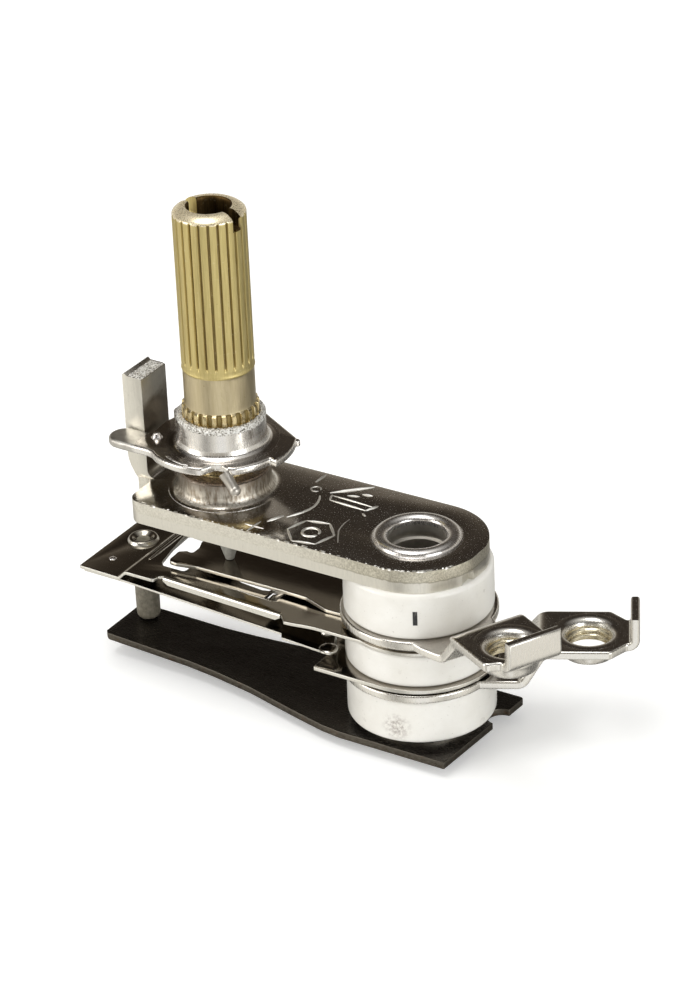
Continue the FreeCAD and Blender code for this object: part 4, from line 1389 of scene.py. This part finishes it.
# hexagon with a ring in it, and a thin curve beside it
corners = arc(2.02, 12, 372, 6, HEX_X, HEX_Y)
for a, b in zip(corners, corners[1:]):
    thirds = [((a[0] * (3 - k) + b[0] * k) / 3, (a[1] * (3 - k) + b[1] * k) / 3) for k in (1, 2)]
    MARKS.append((0.216, 0.104, [a, *thirds, b]))
MARKS += [
    (0.2304, 0.104, arc(0.72, 0, 345, 18, HEX_X, HEX_Y)),
    (0.1008, 0.028, [(12.21, -0.11), (12.15, -0.9), (12.25, -1.6), (12.4, -2.18), (12.85, -3.0),
                     (13.41, -3.92)]),
]
# the ribs get the brighter nickel, a painted highlight
ribs = [rib_mesh("rib", [(x + SHAFT_X, y) for x, y in path], width, height, PLATE_Z)
        for width, height, path in MARKS]
piece("stamped_marks", join("marks", *ribs), NICKEL_MARK_HIGHLIGHT, "bright_nickel", "stack", smooth=60)

# ---------------------------------------------------------------- sheared edges of the bracket
# Beads along the -y edge of the plate and round its end at the stack, bright with a painted highlight.
# Corners are (along, across, up); the first two scale with the width, a positive up with height.
BEAD_CORNERS = ((-1, -0.5, -0.05), (1, -0.5, -0.05), (0.8, 0.7, -0.03), (-0.8, 0.7, -0.03),
                (-0.62, 0.0, 0.75), (0.62, 0.0, 0.75), (0.5, 0.4, 0.7), (-0.5, 0.4, 0.7))
BEAD_FACES = ((0, 1, 5, 4), (1, 2, 6, 5), (2, 3, 7, 6), (3, 0, 4, 7), (4, 5, 6, 7), (3, 2, 1, 0))
verts, faces = [], []
rng = np.random.default_rng(7)


def bead(x, y, along_x, along_y, width, height):
    first = len(verts)
    for along, across, up in BEAD_CORNERS:
        verts.append((x + along_x * along * width - along_y * across * width * 0.8,
                      y + along_y * along * width + along_x * across * width * 0.8,
                      PLATE_Z + (up * height if up > 0 else up)))
    faces.extend([first + k for k in face] for face in BEAD_FACES)


x = plate_lo[0] + 4.2
while x < -0.3:
    width = rng.choice([0.07, 0.10, 0.14, 0.24, 0.34]) * rng.uniform(0.8, 1.2)
    bead(x, -5.82 + 0.07 + rng.uniform(-0.02, 0.04), 1, 0, width, rng.uniform(0.02, 0.06))
    x += 2 * width + rng.uniform(-0.05, 0.65)
degrees = -92.0
while degrees < -28:
    width = rng.uniform(0.08, 0.32)
    radius = 5.74 + rng.uniform(-0.04, 0.03)
    cos, sin = polar(1.0, degrees)
    bead(radius * cos, radius * sin, -sin, cos, width, rng.uniform(0.03, 0.08))
    degrees += 2.0 + rng.uniform(0.5, 4.0)
piece("edge_burr", mesh_from("edge_burr", verts, faces), NICKEL_MARK_HIGHLIGHT, "bright_nickel", "stack",
      smooth=70)

# rough crest of the neck round the shaft
sections = []
for i in range(160):
    angle = 2 * math.pi * i / 160
    section = crest_row(angle, inner=2.62, outer=3.80, z=2.2, swing=0.05, density=30, level=9,
                        middle=0.02, rim=-0.05)
    sections.append(section + [shaft_point(3.80, angle, 2.0), shaft_point(2.62, angle, 2.0)])
# its dark brown grain is rust plus painted shade from the stop disc
piece("neck_crest", loft_mesh("neck_crest", sections, closed=True), GRAIN_RUST_SHADE, "bright_nickel",
      "stack", smooth=60)

path = [(*polar(4.72, a, SHAFT_X), PLATE_Z + 0.005) for a in range(-150, -9, 5)]
piece("neck_foot_line", wire_mesh("neck_foot_line", path, radius=0.035, end_radius=0.02, sides=8),
      NICKEL_RIVET, "bright_nickel", "stack", smooth=60)

# sheared crest of the stop post
POST_X = (-26.58, -25.12)
POST_Y = (-1.80, 1.68)


def post_point(i, k):
    x = POST_X[0] + (POST_X[1] - POST_X[0]) * i / 10
    y = POST_Y[0] + (POST_Y[1] - POST_Y[0]) * k / 16
    z = plate_hi[2] - 0.17 - 0.06
    if i not in (0, 10) and k not in (0, 16):
        z += 0.075 + 0.05 * noise.noise(Vector((x * 5, y * 5, 3.3)))
    return x + 0.03 * noise.noise(Vector((x, y * 6, 1))), y, z


piece("post_crest", grid_mesh("post_crest", 10, 16, 0.12, post_point), GRAIN, "bright_nickel",
      "stack", smooth=60)

# ---------------------------------------------------------------- small details
# dimple on the carrier's end plate
profile = rounded([(0, end_top - 0.05), (0.34, end_top - 0.05), (0.30, end_top + 0.06, 0.12),
                   (0, end_top + 0.10)], steps=4)
piece("end_dimple", turned_mesh("end_dimple", profile, 24, -28.75, -2.7), NICKEL_RIVET,
      "spring_steel", "carrier", smooth=50)


def tick_point(i, k):
    """Point of the printed tick on the wall of the top ring."""
    angle = math.radians(-62.0) + (i - 4) / 4 * 0.030
    radius = ring_radius + 0.004
    z = (top_lo[2] + top_hi[2]) / 2 + (k - 4) / 4 * 0.62
    return radius * math.cos(angle), radius * math.sin(angle), z


piece("ring_tick", grid_mesh("ring_tick", 8, 8, 0.03, tick_point), INK, "steatite", "stack",
      smooth=50)

# ---------------------------------------------------------------- floor
# What polished metal sees near the horizon: (degrees from +x, brightness).
HORIZON = [(-180, 0.55), (-155, 0.80), (-122, 1.20), (-106, 0.35), (-90, 0.30), (-68, 1.30),
           (-46, 1.15), (-24, 0.28), (0, 1.15), (22, 0.60), (44, 0.10), (75, 0.09),
           (100, 0.40), (125, 0.62), (150, 0.36), (180, 0.55)]


def horizon_glow(graph, direction):
    """Warm brightness by compass direction, and the z of the direction."""
    x, y, z = graph.xyz(direction)
    turn = graph.math("ARCTAN2", y, x).map((-math.pi, math.pi))
    stops = [((degrees + 180) / 360, (glow, glow * 0.97, glow * 0.90))
             for degrees, glow in HORIZON]
    return graph.ramp(turn, stops, interpolation="B_SPLINE"), z


def floor_material():
    """Pale floor that mirrors see as the horizon glow, dimmed under the product as a painted shadow."""
    m = Material("floor_pale")
    light_path = m.node("ShaderNodeLightPath")
    m.finish(m.mix(m.noise(60.0, detail=2).map(MID), (0.92, 0.92, 0.915), (0.94, 0.94, 0.935)),
             metallic=0.0, roughness=0.9, Emission_Color=(1, 1, 1), Specular_IOR_Level=0.1,
             Emission_Strength=m.out(light_path, "Is Camera Ray") * 0.26)
    geometry = m.node("ShaderNodeNewGeometry")
    outward = m.add("ShaderNodeVectorMath", {0: m.out(geometry, "Incoming"), "Scale": -1.0},
                    operation="SCALE")
    glow = horizon_glow(m, outward)[0]
    # footprint of the product, in metres, where the glow is dimmed as a painted shadow
    x, y, _ = m.xyz(m.out(geometry, "Position"))
    outside_x = abs(x + 0.0110).map((0.014, 0.026), smooth=True)
    outside_y = abs(y).map((0.003, 0.011), smooth=True)
    strength = m.math("MAXIMUM", outside_x, outside_y).map((0.0, 1.0), to=(0.22, 1.0))
    emission = m.add("ShaderNodeEmission", {"Color": glow, "Strength": strength})
    surface = m.add("ShaderNodeMixShader", {0: m.out(light_path, "Is Glossy Ray"),
                                            1: m.out(m.principled), 2: emission})
    m.put(m.tree.nodes["Material Output"], "Surface", surface)
    return m.material


FLOOR_HALF = 2.5  # metres
floor_z = cad_lo.z - 0.00002
floor_shader = floor_material()
floor_mesh = bpy.data.meshes.new("floor")
floor_mesh.from_pydata([(x * FLOOR_HALF, y * FLOOR_HALF, floor_z)
                        for x, y in ((-1, -1), (1, -1), (1, 1), (-1, 1))], [], [(0, 1, 2, 3)])
floor = add_object("floor", floor_mesh)
floor_mesh.materials.append(floor_shader)


# ---------------------------------------------------------------- lights
def area(name, location, size, power, color=(1, 1, 1)):
    """Square light aimed at the middle of the product."""
    light = bpy.data.lights.new(name, "AREA")
    light.energy = power
    light.size = size
    light.color = color
    made = add_object(name, light)
    made.location = location
    made.rotation_mode = "QUATERNION"
    aim = Vector((-0.010, 0.0, 0.0)) - Vector(location)
    made.rotation_quaternion = aim.to_track_quat("-Z", "Y")


area("key_top", (-0.05, -0.10, 0.55), size=0.32, power=1.20)
area("key_left", (-0.36, -0.40, 0.20), size=0.30, power=1.25, color=(1.0, 0.985, 0.95))
area("fill_right", (0.42, -0.14, 0.12), size=0.25, power=0.85, color=(0.95, 0.98, 1.0))

# ---------------------------------------------------------------- world
# (height from straight down to straight up, colour) as seen by polished metal
SKY = [(0.0, (0.95, 0.94, 0.92)), (0.50, (0.95, 0.93, 0.88)), (0.57, (0.60, 0.57, 0.50)),
       (0.645, (0.24, 0.21, 0.175)), (0.70, (0.085, 0.070, 0.054)),
       (0.745, (0.044, 0.035, 0.027)), (0.84, (0.040, 0.032, 0.025)),
       (0.93, (0.40, 0.39, 0.37)), (1.0, (1.1, 1.1, 1.08))]
AMBIENT = (0.50, 0.495, 0.48)  # what every other surface sees


def build_world():
    world = bpy.data.worlds.new("studio")
    scene.world = world
    world.use_nodes = True
    graph = Graph(world.node_tree)
    light_path = graph.node("ShaderNodeLightPath")
    height = graph.xyz(graph.out(graph.coords, "Generated"))[2]
    sky = graph.ramp(height.map((-1, 1)), SKY)
    room = graph.tree.nodes["Background"]
    graph.put(room, "Color", graph.mix(graph.out(light_path, "Is Glossy Ray"), AMBIENT, sky))
    graph.put(room, "Strength", 1.0)
    # the camera sees plain white
    white = graph.add("ShaderNodeBackground", {"Color": (1, 1, 1)})
    surface = graph.add("ShaderNodeMixShader", {0: graph.out(light_path, "Is Camera Ray"),
                                                1: graph.out(room), 2: white})
    graph.put(graph.tree.nodes["World Output"], "Surface", surface)


build_world()

# ---------------------------------------------------------------- camera and render
camera_data = bpy.data.cameras.new("camera")
camera = add_object("camera", camera_data)
camera_right = Vector((0.8506901, 0.52438251, -0.03673326))
camera_up = Vector((-0.22229043, 0.42217803, 0.87883598))
camera_back = Vector((0.47635419, -0.73945162, 0.47570788))
placement = Matrix((camera_right, camera_up, camera_back)).transposed().to_4x4()
placement.translation = Vector((0.12565960, -0.20518683, 0.13367388))
camera.matrix_world = placement
camera_data.sensor_width = 36.0
camera_data.lens = 123.06
camera_data.clip_start = 0.01
camera_data.clip_end = 10.0
scene.camera = camera

scene.view_settings.view_transform = "Standard"
scene.view_settings.look = "None"
scene.cycles.use_denoising = True
scene.cycles.max_bounces = 10

# every CAD node that is still shown keeps a procedural finish too
SLOT_MATERIALS = {
    "bright_nickel": NICKEL, "brass_turned": BRASS, "ceramic_tip": TIP_CERAMIC,
    "steatite": STEATITE, "spring_steel": STRIP, "terminal_nickel": NICKEL_TERMINAL,
    "silver_contact": SILVER, "bimetal_dark": BIMETAL, "pin_ceramic": PIN_CERAMIC}
for subpart in record["subparts"]:
    for material_slot in nodes[subpart["node"]].material_slots:
        material_slot.material = SLOT_MATERIALS[subpart["material_slot"]]
